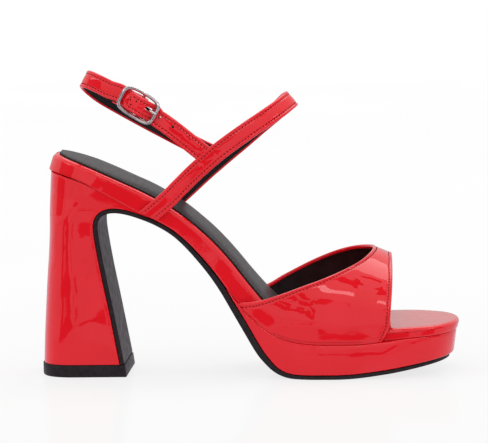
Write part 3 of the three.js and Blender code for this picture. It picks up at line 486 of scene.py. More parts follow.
class NodeBench:
    """Makes a material's nodes one after another."""

    def __init__(self, name: str) -> None:
        """Starts an empty material.

        Args:
            name: The material's name.
        """
        self.material = bpy.data.materials.new(name)
        self.material.use_nodes = True
        self.tree = self.material.node_tree
        self.shader = self.tree.nodes["Principled BSDF"]
        self.place = self.tree.nodes.new("ShaderNodeTexCoord").outputs["Object"]

    def node(self, kind: str, **inputs: object) -> bpy.types.Node:
        """Adds a node to the material, as add_node does."""
        return add_node(self.tree, kind, **inputs)

    def set(self, **values: object) -> None:
        """Sets the shader's own sockets, with _ for each space in a socket's name."""
        for name, value in values.items():
            self.shader.inputs[name.replace("_", " ")].default_value = value

    def noise(self, scale: float, detail: float = 2.0, stretch: tuple = (1, 1, 1)) -> Socket:
        """A noise pattern fixed to the piece.

        Args:
            scale: Cells in a metre.
            detail: Finer layers added to it.
            stretch: How much closer the cells lie along each axis.

        Returns:
            The noise's value from 0 to 1.
        """
        mapping = self.node("ShaderNodeMapping", Vector=self.place, Scale=stretch)
        place = mapping.outputs["Vector"]
        return self.node("ShaderNodeTexNoise", Vector=place, Scale=scale, Detail=detail).outputs["Fac"]

    def blend(self, factor: Socket, first: tuple, second: tuple) -> Socket:
        """A colour between two, by a pattern.

        Args:
            factor: The pattern.
            first: The linear colour where it is low.
            second: The linear colour where it is high.

        Returns:
            The colour.
        """
        ramp = self.node("ShaderNodeValToRGB", Fac=factor)
        for stop, place, colour in zip(ramp.color_ramp.elements, (0.35, 0.65), (first, second)):
            stop.position = place
            stop.color = (*colour, 1)
        return ramp.outputs["Color"]

    def span(self, factor: Socket, low: float, high: float) -> Socket:
        """A number between two, by a pattern.

        Args:
            factor: The pattern.
            low: The number where it is low.
            high: The number where it is high.

        Returns:
            The number.
        """
        ends = {"From_Min": 0.3, "From_Max": 0.7, "To_Min": low, "To_Max": high}
        return self.node("ShaderNodeMapRange", Value=factor, **ends).outputs["Result"]

    def relief(self, layers: list[tuple[Socket, float]]) -> Socket:
        """Bump from several patterns.

        Args:
            layers: Each pattern with its height in metres.

        Returns:
            The bumped normal.
        """
        below = {}
        for pattern, height in layers:
            node = self.node("ShaderNodeBump", Strength=1.0, Distance=height, Height=pattern, **below)
            below = {"Normal": node.outputs["Normal"]}
        return below["Normal"]

    def link(self, value: Socket, *names: str) -> None:
        """Joins a value to sockets of the shader."""
        for name in names:
            self.tree.links.new(value, self.shader.inputs[name])


@dataclass(frozen=True)
class PatentLeather:
    """Lacquered red leather: deep colour under a clear, slightly wavy coat.

    Attributes:
        name: The material's name.
        deep: Linear colour of the deeper patches.
        light: Linear colour of the lighter patches.
        wave: Height of the slow waves in the lacquer, in metres.
    """

    name: str = "red_patent"
    deep: tuple = (0.68, 0.0040, 0.0105)
    light: tuple = (0.72, 0.0060, 0.0145)
    wave: float = 0.00012

    def material(self) -> Material:
        """Builds the material."""
        bench = NodeBench(self.name)
        bench.set(Specular_IOR_Level=0.04, Coat_Weight=1.0, Coat_Roughness=0.012, Coat_IOR=1.5)
        bench.link(bench.blend(bench.noise(38, 2), self.deep, self.light), "Base Color")
        bench.link(bench.span(bench.noise(260, 3), 0.3, 0.42), "Roughness")
        waves = (bench.noise(62, 1), self.wave)
        small = (bench.noise(190, 1), self.wave * 0.14)
        grain = (bench.noise(1500, 2), 0.000003)
        bench.link(bench.relief([waves, small, grain]), "Normal", "Coat Normal")
        return bench.material


@dataclass(frozen=True)
class PlainLeather:
    """Uncoated leather with a fine grain.

    Attributes:
        name: The material's name.
        dark: Linear colour in the grain's hollows.
        pale: Linear colour on its tops.
        rough: Lowest and highest roughness.
        grain: Height of the grain, in metres.
        sheen: Weight of the soft sheen.
        shine: Strength of its reflection, 0.5 for a plain surface.
    """

    name: str
    dark: tuple
    pale: tuple
    rough: tuple = (0.42, 0.56)
    grain: float = 0.00003
    sheen: float = 0.0
    shine: float = 0.25

    def material(self) -> Material:
        """Builds the material."""
        bench = NodeBench(self.name)
        bench.set(Specular_IOR_Level=self.shine, Sheen_Weight=self.sheen)
        bench.link(bench.blend(bench.noise(160, 4), self.dark, self.pale), "Base Color")
        bench.link(bench.span(bench.noise(500, 3), *self.rough), "Roughness")
        pores = (bench.noise(2300, 3), self.grain)
        swell = (bench.noise(90, 2), self.grain * 4)
        bench.link(bench.relief([swell, pores]), "Normal")
        return bench.material


@dataclass(frozen=True)
class SoleRubber:
    """Black sole rubber with a fine pebbled grain.

    Attributes:
        name: The material's name.
        dark: Linear colour in the grain's hollows.
        pale: Linear colour on its tops, a little scuffed.
        rough: Lowest and highest roughness.
    """

    name: str = "black_rubber"
    dark: tuple = (0.008, 0.0055, 0.0066)
    pale: tuple = (0.016, 0.0118, 0.0138)
    rough: tuple = (0.40, 0.56)

    def material(self) -> Material:
        """Builds the material."""
        bench = NodeBench(self.name)
        bench.set(Specular_IOR_Level=0.25)
        bench.link(bench.blend(bench.noise(420, 5), self.dark, self.pale), "Base Color")
        bench.link(bench.span(bench.noise(240, 3), *self.rough), "Roughness")
        pebbles = (bench.noise(1700, 2), 0.00004)
        bench.link(bench.relief([pebbles]), "Normal")
        return bench.material


@dataclass(frozen=True)
class PolishedWire:
    """Bright plated wire with faint polishing marks.

    Attributes:
        name: The material's name.
        colour: Linear colour of the plating.
    """

    name: str = "bright_wire"
    colour: tuple = (0.74, 0.72, 0.70)

    def material(self) -> Material:
        """Builds the material."""
        bench = NodeBench(self.name)
        bench.set(Metallic=1.0)
        tone = tuple(c * 0.8 for c in self.colour)
        bench.link(bench.blend(bench.noise(90, 1), tone, self.colour), "Base Color")
        bench.link(bench.span(bench.noise(120, 1), 0.03, 0.05), "Roughness")
        bench.link(bench.relief([(bench.noise(260, 1), 0.000001)]), "Normal")
        return bench.material


@dataclass(frozen=True)
class SewingThread:
    """Twisted sewing thread.

    Attributes:
        name: The material's name.
        colour: Linear colour of the thread.
    """

    name: str
    colour: tuple

    def material(self) -> Material:
        """Builds the material."""
        bench = NodeBench(self.name)
        bench.set(Specular_IOR_Level=0.12)
        dark = tuple(c * 0.6 for c in self.colour)
        bench.link(bench.blend(bench.noise(2600, 2), dark, self.colour), "Base Color")
        bench.link(bench.span(bench.noise(900, 2), 0.5, 0.7), "Roughness")
        bench.link(bench.relief([(bench.noise(3000, 1, (1, 2, 1)), 0.00003)]), "Normal")
        return bench.material


@dataclass
class Wardrobe:
    """Every material of the sandal, made once.

    Attributes:
        patent: The red lacquered leather.
        lining: The black lining.
        sock: The dark grey sock.
        rubber: Outsole and top lift.
        wire: The buckle's metal.
        red_thread_with_painted_shade: The thread on the lacquer.
        black_thread: The thread on sock and lining.
    """

    patent: Material = field(default_factory=lambda: PatentLeather().material())
    lining: Material = field(
        default_factory=lambda: PlainLeather(
            "black_lining", (0.006, 0.005, 0.005), (0.014, 0.0115, 0.0122)
        ).material()
    )
    sock: Material = field(
        default_factory=lambda: PlainLeather(
            "grey_sock", (0.024, 0.0175, 0.021), (0.036, 0.0265, 0.0315), (0.32, 0.44), 0.00002, 0.03, 0.1
        ).material()
    )
    rubber: Material = field(default_factory=lambda: SoleRubber().material())
    wire: Material = field(default_factory=lambda: PolishedWire().material())
    # The thread on the lacquer is dark red partly as painted shade: its colour also carries the shade of the
    # needle holes.
    red_thread_with_painted_shade: Material = field(
        default_factory=lambda: SewingThread("red_thread_with_painted_shade", (0.25, 0.003, 0.007)).material()
    )
    black_thread: Material = field(
        default_factory=lambda: SewingThread("black_thread", (0.012, 0.010, 0.011)).material()
    )

    @property
    def upper(self) -> list[Material]:
        """The outer face and the lining of vamp and straps."""
        return [self.patent, self.lining]


# Stitches


class StitchTree:
    """A node tree that lays stitches along every spline of a curve."""

    def __init__(self) -> None:
        """Builds the tree with its named inputs."""
        self.tree = bpy.data.node_groups.new("stitch_rows", "GeometryNodeTree")
        face = self.tree.interface
        face.new_socket("Geometry", in_out="INPUT", socket_type="NodeSocketGeometry")
        face.new_socket("Geometry", in_out="OUTPUT", socket_type="NodeSocketGeometry")
        self.ids = {}
        for name, kind in (
            ("Pitch", "NodeSocketFloat"),
            ("Length", "NodeSocketFloat"),
            ("Thickness", "NodeSocketFloat"),
            ("Turn Spread", "NodeSocketFloat"),
            ("Seed", "NodeSocketInt"),
            ("Thread", "NodeSocketMaterial"),
        ):
            self.ids[name] = face.new_socket(name, in_out="INPUT", socket_type=kind).identifier
        self._wire()

    def _add(self, kind: str, **inputs: object) -> bpy.types.Node:
        """Adds a node to the stitches' tree, as add_node does."""
        return add_node(self.tree, kind, **inputs)

    def _times(self, value: Socket, factor: float) -> Socket:
        """The value times a fixed factor."""
        node = self.tree.nodes.new("ShaderNodeMath")
        node.operation = "MULTIPLY"
        node.inputs[1].default_value = factor
        self.tree.links.new(value, node.inputs[0])
        return node.outputs[0]

    def _wire(self) -> None:
        """Joins the nodes: a long ball for each stitch lies along the line, turned a little."""
        given = self.tree.nodes.new("NodeGroupInput").outputs
        steps = self._add("GeometryNodeResampleCurve", Curve=given["Geometry"])
        steps.mode = "LENGTH"
        self.tree.links.new(given["Pitch"], steps.inputs["Length"])
        long, thick = self._times(given["Length"], 0.5), self._times(given["Thickness"], 0.5)
        size = self._add("ShaderNodeCombineXYZ", X=long, Y=thick, Z=thick).outputs["Vector"]
        ball = self._add("GeometryNodeMeshUVSphere", Segments=8, Rings=6, Radius=1.0).outputs["Mesh"]
        lying = self._add("GeometryNodeTransform", Geometry=ball, Rotation=(0, math.pi / 2, 0))
        thread = self._add("GeometryNodeTransform", Geometry=lying.outputs["Geometry"], Scale=size)
        tangent = self.tree.nodes.new("GeometryNodeInputTangent").outputs["Tangent"]
        align = self._add("FunctionNodeAlignRotationToVector", Vector=tangent)
        align.axis = "X"
        spread = self._add("FunctionNodeRandomValue", Seed=given["Seed"])
        spread.data_type = "FLOAT"
        self.tree.links.new(self._times(given["Turn Spread"], -1.0), spread.inputs[2])
        self.tree.links.new(given["Turn Spread"], spread.inputs[3])
        turn = self._add("FunctionNodeAxisAngleToRotation", Axis=(0, 1, 0), Angle=spread.outputs[1])
        askew = {"Rotation": align.outputs["Rotation"], "Rotate_By": turn.outputs["Rotation"]}
        rotate = self._add("FunctionNodeRotateRotation", **askew)
        rotate.rotation_space = "LOCAL"
        parts = {"Points": steps.outputs["Curve"], "Instance": thread.outputs["Geometry"]}
        put = self._add("GeometryNodeInstanceOnPoints", Rotation=rotate.outputs["Rotation"], **parts)
        real = self._add("GeometryNodeRealizeInstances", Geometry=put.outputs["Instances"])
        smooth = self._add("GeometryNodeSetShadeSmooth", Geometry=real.outputs["Geometry"])
        sewn = smooth.outputs["Geometry"]
        dress = self._add("GeometryNodeSetMaterial", Geometry=sewn, Material=given["Thread"])
        result = self.tree.nodes.new("NodeGroupOutput").inputs
        self.tree.links.new(dress.outputs["Geometry"], result["Geometry"])

    def sew(self, name: str, lines: list[Array], stitch: "Stitch", thread: Material) -> Object:
        """Sews along lines and returns one plain mesh.

        Args:
            name: The new object's name.
            lines: Points of each line, in millimetres.
            stitch: The stitch's sizes.
            thread: The thread's material.

        Returns:
            The mesh object of all the stitches.
        """
        curve = bpy.data.curves.new(name + "_line", "CURVE")
        curve.dimensions = "3D"
        for line in lines:
            spline = curve.splines.new("POLY")
            spline.points.add(len(line) - 1)
            held = np.concatenate([line * MM, np.ones((len(line), 1))], axis=1)
            spline.points.foreach_set("co", held.astype(np.float32).ravel())
        guide = placed(name + "_line", curve)
        modifier = guide.modifiers.new("stitches", "NODES")
        modifier.node_group = self.tree
        values = {
            "Pitch": stitch.pitch * MM,
            "Length": stitch.length * MM,
            "Thickness": stitch.thickness * MM,
            "Turn Spread": math.radians(stitch.spread),
            "Seed": stitch.seed,
            "Thread": thread,
        }
        for key, value in values.items():
            modifier[self.ids[key]] = value
        graph = bpy.context.evaluated_depsgraph_get()
        mesh = bpy.data.meshes.new_from_object(guide.evaluated_get(graph), depsgraph=graph)
        guide.modifiers.clear()
        bpy.data.objects.remove(guide)
        mesh.name = name
        return placed(name, mesh)


@dataclass(frozen=True)
class Stitch:
    """One kind of stitch.

    Attributes:
        pitch: From one stitch to the next.
        length: The part of the thread that shows.
        thickness: The thread's thickness.
        spread: How far stitches lie askew, in degrees.
        seed: Fixes how each stitch lies.
    """

    pitch: float = 1.95
    length: float = 1.1
    thickness: float = 0.56
    spread: float = 5.0
    seed: int = 7


# The last, which every piece is made on


@dataclass
class Station:
    """Slices across the shoe.

    Attributes:
        base: A point of each slice on the middle plane.
        up: The direction away from the sole in each slice.
        thick: The piece's thickness at each slice.
        outer: Half width on the outer side.
        inner: Half width on the inner side.
        plan_x: Where along the plan each slice's edge lies.
    """

    base: Array
    up: Array
    thick: Array
    outer: Array
    inner: Array
    plan_x: Array


@dataclass
class Last:
    """The foot form's plan, profile and heights, shared by all pieces.

    Attributes:
        toe_x: Front of the insole.
        heel_x: Back of the insole.
        toe_round: Length of the rounded toe.
        heel_round: Length of the rounded heel seat.
        toe_square: How square the toe is.
        heel_square: How square the heel seat is.
        end_blend: Length over which insets turn from sideways to lengthways.
        tip: How far outlines stop before their tips.
        lip: Platform edge outside the insole, under the vamp.
        toe_lip: Platform edge at the toe tip.
        outsole_inset: The outsole ends this far behind the insole.
        heel_centre: The heel's middle line.
        profile: The insole's lower and upper line, seen from the side.
        plan: Half widths on both sides along the shoe.
        sole: The outsole's upper line with its thickness.
        heel: The heel's back line with half its width.
        breast_row: Row of the outsole from which it lies on the front of the heel.
        seat_row: Row of the outsole where it starts to turn there.
    """

    toe_x: float = 111.0
    heel_x: float = -105.6
    toe_round: float = 38.0
    heel_round: float = 29.0
    toe_square: float = 2.3
    heel_square: float = 2.05
    end_blend: float = 14.0
    tip: float = 0.000002
    lip: float = 2.3
    toe_lip: float = -0.6
    outsole_inset: float = 5.7
    heel_centre: float = -1.0
    profile: Table = Table(
        "low_x low_z top_x top_z",
        (
            (-105.2, 108.6, -102.4, 117.2), (-96.8, 106.9, -93.4, 114.9), (-87.4, 103.9, -83, 111.1),
            (-78.5, 99.6, -73.8, 107.1), (-68.5, 94.1, -63.4, 102.3), (-57.6, 87.9, -52.5, 97.1),
            (-47.9, 83.4, -43, 91.7), (-39.6, 78.7, -34.5, 86), (-33.8, 74.2, -27.5, 80.3),
            (-27.6, 68.2, -21, 74.5), (-21.2, 61, -14.2, 67.5), (-15.5, 53.8, -7.8, 60),
            (-10.2, 46.4, -2.2, 52.8), (-4.5, 39.2, 3.6, 45.7), (1.5, 32.8, 9.2, 39.3),
            (8.5, 26.8, 15, 34), (16.5, 22.1, 21.5, 30.1), (26, 19.4, 29.5, 27.5), (40, 18.4, 41, 26.1),
            (56, 18.4, 56, 25.7), (73, 19.7, 73.3, 26.1), (86, 21, 86.2, 26.4), (98, 21.6, 98.4, 26.5),
            (110, 22.2, 111, 27.1),
        ),
    )
    plan: Table = Table(
        "x outer inner",
        (
            (-106, 26.4, 23.6), (-80, 26.4, 23.8), (-60, 26.4, 23.6), (-40, 25.8, 22),
            (-20, 25.8, 21.6), (0, 29, 25.6), (20, 34.4, 33), (38, 38.3, 37.2), (55, 38.4, 38.4),
            (72, 36.4, 38), (110, 36, 37.6),
        ),
    )
    sole: Table = Table(
        "x z thick",
        (
            (105.3, 8.9, 1.9), (97, 7.8, 1.9), (86, 6.2, 1.9), (70, 3.9, 2), (58, 2.6, 2), (48, 2, 2),
            (38, 2, 2), (28, 2, 2), (21.5, 2.8, 2.2), (16, 5.5, 2.6), (11.4, 10.2, 3.1), (7, 16.2, 3.4),
            (-0.3, 28.7, 3.4), (-5.8, 37.7, 3.2), (-10.9, 46, 3), (-16.1, 53.4, 2.8),
            (-21.8, 60.6, 2.6), (-28.1, 67.8, 2.4), (-34.2, 73.8, 2.2), (-39.9, 78.2, 2.1),
            (-48.1, 82.9, 2.1), (-57.5, 86.8, 2.2), (-65, 88.8, 2.2), (-71.5, 89.1, 2.2),
            (-76.6, 87.2, 2.2), (-79.4, 83.4, 2.2), (-80, 78.4, 2.2), (-79, 69.6, 2.2),
            (-76.3, 53.6, 2.2), (-73.5, 39.1, 2.2), (-70.5, 22.7, 2.2), (-67.6, 6.6, 2.2),
        ),
    )
    heel: Table = Table(
        "back_x back_z half",
        (
            (-110, 6.3, 23.4), (-109.4, 20, 23.2), (-108.4, 36, 23.1), (-107.2, 52, 23.3),
            (-106, 66, 23.8), (-105.3, 78, 24.4), (-105.1, 87, 24.8), (-104.8, 94, 25),
            (-104.5, 100, 25), (-104.2, 104.5, 25), (-103.9, 108, 25),
        ),
    )
    breast_row: float = 25.0
    seat_row: float = 21.0

    def __post_init__(self) -> None:
        """Prepares the smooth functions through the tables."""
        self.plan_outer = self.plan.function("x", "outer")
        self.plan_inner = self.plan.function("x", "inner")
        self.seam_z = self.profile.function("low_x", "low_z")
        self.heel_half = self.heel.function("back_z", "half")
        self.heel_back = self.heel.function("back_z", "back_x")
        self.profile_path = self.profile.path("low_x low_z top_x top_z")
        self.sole_path = self.sole.path("x z thick")

    def rounding(self, x: Array, heel_x: float, toe_x: float) -> Array:
        """How much of its full width an outline has at x, with rounded ends.

        Args:
            x: Places along the shoe.
            heel_x: Back end of the outline.
            toe_x: Front end of the outline.

        Returns:
            A share from 0 to 1 at each place.
        """
        toe = np.clip((x - (toe_x - self.toe_round)) / self.toe_round, 0, 1)
        heel = np.clip((heel_x + self.heel_round - x) / self.heel_round, 0, 1)
        toe_share = (1 - toe**self.toe_square) ** (1 / self.toe_square)
        return toe_share * (1 - heel**self.heel_square) ** (1 / self.heel_square)

    def insole_at(self, share: Array) -> tuple[Station, Array]:
        """Slices of the insole.

        Args:
            share: Shares of the way from heel to toe.

        Returns:
            The slices with their upper points, and their lower points.
        """
        r = self.profile_path(np.asarray(share) * self.profile.last)
        zero = np.zeros(len(r))
        low = np.stack([r[:, 0], zero, r[:, 1]], axis=1)
        top = np.stack([r[:, 2], zero, r[:, 3]], axis=1)
        back = np.maximum(r[:, 0], self.heel_x + self.tip)
        plan_x = lerp(back, r[:, 2], smoothstep(r[:, 0], 60, 109))
        width = self.rounding(np.minimum(plan_x, self.toe_x - self.tip), self.heel_x, self.toe_x)
        thick = np.linalg.norm(top - low, axis=1)
        outer, inner = self.plan_outer(plan_x) * width, self.plan_inner(plan_x) * width
        return Station(top, unit(top - low), thick, outer, inner, plan_x), low

    def lip_at(self, x: Array) -> Array:
        """How far the platform's edge stands outside the insole at x."""
        under = self.lip * smoothstep(x, -22, 2)
        return lerp(under, self.toe_lip, smoothstep(x, 74, 104))

    def outsole_at(self, position: Array) -> Station:
        """Slices of the outsole.

        Args:
            position: Row numbers of the sole's table, whole or between two rows.

        Returns:
            The slices, with points on the upper face.
        """
        position = np.asarray(position, float)
        r = self.sole_path(position)
        a = self.sole_path(np.maximum(position - 0.02, 0))
        b = self.sole_path(np.minimum(position + 0.02, self.sole.last))
        tangent = unit(np.stack([b[:, 0] - a[:, 0], 0 * a[:, 0], b[:, 1] - a[:, 1]], axis=1))
        up = np.stack([tangent[:, 2], 0 * a[:, 0], -tangent[:, 0]], axis=1)
        breast = smoothstep(position, self.seat_row, self.breast_row)
        toe_x = self.toe_x - self.outsole_inset
        x = r[:, 0]
        width = self.rounding(np.minimum(x, toe_x - self.tip), self.heel_x - self.heel_round, toe_x)
        lip = self.lip_at(x) - 0.9
        seat = self.heel_half(r[:, 1])
        outer = lerp((self.plan_outer(x) + lip) * width, seat - self.heel_centre, breast)
        inner = lerp((self.plan_inner(x) + lip) * width, seat + self.heel_centre, breast)
        base = np.stack([x, 0 * x, r[:, 1]], axis=1)
        return Station(base, up, r[:, 2], outer, inner, x)

    def end_ramp(self, x: Array, tip_x: float, inward: float) -> Array:
        """How much of an inset goes lengthways: all at a tip, none along the sides."""
        return 1 - smoothstep((x - tip_x) * inward, 0, self.end_blend)

    def across(self, s: Station, base: Array, share: Array, inset: Array, height: Array) -> Array:
        """Points across the shoe at each slice.

        Args:
            s: The slices.
            base: A point of each slice on the middle plane.
            share: Share of the half width of each column, -1 at the outer edge and 1 at the inner.
            inset: Inset from that edge, a number for each column, or for each slice and column.
            height: Height along the slice's up, in the same way.

        Returns:
            Slices by columns by 3.
        """
        rows = len(base)
        share = np.broadcast_to(share, (rows, np.shape(share)[-1]))
        inset = np.broadcast_to(inset, share.shape)
        height = np.broadcast_to(height, share.shape)
        half = np.where(share < 0, s.outer[:, None], s.inner[:, None])
        reach = half * np.abs(share)
        kept = np.maximum(reach - inset * np.minimum(1, half / self.end_blend), reach * 0.3)
        points = base[:, None, :] + s.up[:, None, :] * height[..., None]
        x = points[..., 0]
        shift = inset * (self.end_ramp(x, self.heel_x, 1) - self.end_ramp(x, self.toe_x, -1))
        points[..., 0] = x + shift
        points[..., 1] = np.sign(share) * kept
        return points


def mirrored(values: Array) -> Array:
    """Column values from the outer edge to the middle, and back out to the inner edge."""
    return np.concatenate([values, values[::-1]])


def both_sides(share: Array) -> Array:
    """Places on the one side of the middle line followed by their mirror images."""
    return np.concatenate([share, -share[::-1]])


def fit(piece: Object, node: str) -> Object:
    """Makes a piece ride with the shoe and stand for a solid.

    Args:
        piece: The finished piece.
        node: The solid that it stands for, which is hidden.

    Returns:
        The piece.
    """
    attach(piece, "root")
    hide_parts(node)
    LOG.info("%s: %d faces", piece.name, len(piece.data.polygons))
    return piece


def trim(piece: Object) -> Object:
    """Makes a small added piece ride with the shoe.

    Args:
        piece: The finished piece.

    Returns:
        The piece.
    """
    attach(piece, "root")
    LOG.info("%s: %d faces", piece.name, len(piece.data.polygons))
    return piece


# Sole unit


@dataclass
class SoleUnit:
    """Outsole, platform, insole, sock, heel and top lift.

    Attributes:
        last: The shared form.
        looks: The materials.
        rim: Radius of the rolled upper edge of the insole.
        sock_inset: Sock edge from the insole edge.
        sock_edge: Its thickness at the edge.
        sock_crown: Its padded thickness along the middle.
        sock_heel_crown: Its thickness at the back of the heel.
        lift_height: Height of the top lift.
        lift_lip: Top lift outside the heel block.
        back_round: Length of the heel's rounded back.
        back_square: How square that back is.
        corner: Radius of the heel's front corners.
        tread_bevel: Bevel round the tread.
        setback: The platform's toe behind the last's toe.
        lean: Near the platform's toe each slice's top lies this far ahead of its foot.
        end_x: Where the platform's top ends at the back.
        end_row: Row of the outsole where its underside ends.
        nose: Its underside reaches this far forward under the toe.
    """

    last: Last
    looks: Wardrobe
    rim: float = 2.4
    sock_inset: float = 2.6
    sock_edge: float = 0.8
    sock_crown: float = 1.9
    sock_heel_crown: float = 1.0
    lift_height: float = 6.3
    lift_lip: float = 0.5
    back_round: float = 20.0
    back_square: float = 2.7
    corner: float = 0.6
    tread_bevel: float = 0.5
    setback: float = 1.7
    lean: float = 4.0
    end_x: float = -9.4
    end_row: float = 14.0
    nose: float = 2.8

    def insole(self) -> Object:
        """The wrapped footbed with its rolled rim."""
        shares = rounded_shares(150, 0.05, 0.12, 14)
        s, low_base = self.last.insole_at(shares)
        thick = s.thick[:, None]
        side_steps, rim_steps = 3, 9
        turn = np.linspace(0, math.pi / 2, rim_steps)
        rim_inset = self.rim * (1 - np.cos(turn))
        rim_height = -self.rim * (1 - np.sin(turn))
        side = np.linspace(-0.55, -0.36, side_steps)[None, :] * thick
        flat = np.array([0.82, 0.6, 0.35, 0.12])
        edge = -np.ones(side_steps + rim_steps)
        share = both_sides(np.concatenate([edge, -flat]))
        inset = np.concatenate([np.zeros(side_steps), rim_inset, np.full(len(flat), self.rim)])
        rolled = np.broadcast_to(rim_height, (len(shares), rim_steps))
        height = np.concatenate([side, rolled, np.zeros((len(shares), len(flat)))], axis=1)
        top = self.last.across(
            s, s.base, share, mirrored(inset), np.concatenate([height, height[:, ::-1]], axis=1)
        )
        low_h = np.concatenate([np.linspace(1.6, 0.8, 5), [0.5, 0.3, 0.15, 0.05, 0.0, 0, 0], np.zeros(4)])
        low_i = np.concatenate([np.zeros(5), [0.04, 0.1, 0.19, 0.3, 0.45, 0.5, 0.5], flat * 0.5])
        low_share = np.concatenate([-np.ones(10), [-0.99, -0.97], -flat])
        low_share = both_sides(low_share)
        low = self.last.across(s, low_base, low_share, mirrored(low_i), mirrored(low_h))
        self._pleats(top)
        self._pleats(low)
        return fit(wall("footbed", top, low, [self.looks.patent]), "insole")

    def _pleats(self, points: Array) -> None:
        """Pushes in the soft pleats where the wrap turns from the waist to the forefoot."""
        x, z = points[..., 0], points[..., 2]
        edge = np.abs(points[..., 1]) > 15
        for place, depth in ((-3.5, 0.22), (-0.6, 0.3), (2.2, 0.18), (5.4, 0.14)):
            trough = bump(x - 0.45 * (z - 38), place, 0.75)
            points[..., 1] -= np.where(edge, np.sign(points[..., 1]) * trough * depth, 0)

    def sock(self) -> Object:
        """The padded sock, softly crowned, with its turned edge."""
        shares = lerp(0.006, 0.72, rounded_shares(120, 0.05, 0.02, 12))
        s, _ = self.last.insole_at(shares)
        seat = 1 - smoothstep(s.plan_x, -96, -45)
        crown = lerp(self.sock_crown, self.sock_heel_crown, seat)
        pad = np.maximum(self.sock_edge, crown * np.minimum(1, np.minimum(s.outer, s.inner) / 18))
        edge_shares = [-1, -1, -0.995, -0.985, -0.965, -0.94, -0.91, -0.87, -0.8, -0.7, -0.55, -0.4, -0.2]
        share = both_sides(np.array(edge_shares))
        rise = np.array([0.0, 0.35, 0.62, 0.8, 0.93, 0.9, 0.84, 0.95, 1.0, 1.0, 1.0, 1.0, 1.0])
        full = np.array([0, 0, 0, 0, 0, 0.0, 0.1, 0.3, 0.6, 0.82, 0.95, 1, 1])
        rise, full = mirrored(rise), mirrored(full)
        height = GAP + 0.05 + self.sock_edge * rise + (pad - self.sock_edge)[:, None] * full
        top = self.last.across(s, s.base, share, self.sock_inset, height)
        low = self.last.across(s, s.base, share, self.sock_inset, GAP + 0 * height)
        sewn = (GAP + 0.9 * self.sock_edge) * np.ones((1, 1))
        self.sock_edges = [
            self.last.across(s, s.base, np.array([k]), self.sock_inset, sewn)[:, 0] for k in (-0.93, 0.93)
        ]
        piece = wall("sock", top, low, [self.looks.lining, self.looks.sock], 3, 5)
        fit(piece, "sock_lining")
        return piece

    def sock_stitches(self, tree: StitchTree) -> Object:
        """The row of stitches just inside the sock's edge."""
        stitch, thread = Stitch(2.1, 1.25, 0.34, 6, 11), self.looks.black_thread
        return trim(tree.sew("sock_stitches", self.sock_edges, stitch, thread))

    def outsole(self) -> Object:
        """The thin sole, its waist and the flap down the front of the heel."""
        ends = [0, 0.02, 0.05, 0.1, 0.17, 0.27, 0.4, 0.55, 0.7, 0.85]
        near = np.concatenate([ends, np.arange(1, self.last.sole.last + 0.01, 0.2)])
        s = self.last.outsole_at(near)
        share = both_sides(np.array([-1, -1, -1, -0.98, -0.9, -0.6, -0.2]))
        top_h = mirrored(np.array([-0.3, -0.12, 0, 0, 0, 0, 0]))
        top_i = mirrored(np.array([0, 0.1, 0.3, 0.3, 0.3, 0.3, 0.3]))
        top = self.last.across(s, s.base, share, top_i, top_h)
        b = self.tread_bevel
        drop = mirrored(np.array([b, b * 0.25, 0, 0, 0, 0, 0]))
        low_i = mirrored(np.array([0, b * 0.3, b, b, b, b, b]))
        low = self.last.across(s, s.base, share, low_i, drop[None, :] - s.thick[:, None])
        return fit(wall("sole", top, low, [self.looks.rubber]), "outsole")

    def platform(self) -> Object:
        """The wrapped block between the outsole and the footbed."""
        shares = rounded_shares(130, 0.1, 0.0001, 12)
        s = self.last.outsole_at(shares * self.end_row)
        forward = np.stack([s.up[:, 2], 0 * s.up[:, 0], -s.up[:, 0]], axis=1)
        reach = self.nose * smoothstep(s.base[:, 0], 80, 105)
        floor = s.base + s.up * GAP + forward * reach[:, None]
        toe_x = self.last.toe_x - self.setback
        upright = np.clip((toe_x - (s.base[:, 0] + self.lean)) / (toe_x - self.end_x), 0, 1)
        top_x = lerp(toe_x, self.end_x, upright)
        roof = np.stack([top_x, 0 * top_x, self.last.seam_z(top_x) - SEAM], axis=1)
        back = self.last.heel_x - self.last.heel_round
        width = self.last.rounding(np.minimum(top_x, toe_x - self.last.tip), back, toe_x)
        lip = self.last.lip_at(top_x)
        straight = np.tile([0.0, 0.0, 1.0], (len(top_x), 1))
        upper = Station(
            roof,
            straight,
            s.thick,
            (self.last.plan_outer(top_x) + lip) * width,
            (self.last.plan_inner(top_x) + lip) * width,
            top_x,
        )
        flare = 0.7 * np.minimum(1, s.outer / 6)
        lower = Station(floor, s.up, s.thick, s.outer + flare, s.inner + flare, top_x)
        depth = np.linalg.norm(roof - floor, axis=1)
        edge = np.minimum(1, depth * 0.3)[:, None]
        share = both_sides(np.array([-1, -1, -1, -1, -1, -0.97, -0.6, -0.2]))
        top_h = -1.35 * edge * mirrored(np.array([1, 0.62, 0.3, 0.08, 0, 0, 0, 0]))
        top_i = mirrored(np.array([0, 0.08, 0.32, 0.72, 1.15, 1.15, 1.15, 1.15]))
        top = self.last.across(upper, roof, share, top_i, top_h)
        low_h = edge * mirrored(np.array([1, 0.7, 0.4, 0.14, 0, 0, 0, 0]))
        low_i = mirrored(np.array([0.1, 0.16, 0.34, 0.62, 1, 1, 1, 1]))
        low = self.last.across(lower, floor, share, low_i, low_h)
        return fit(self._drummed("platform_wrap", top, low), "platform")

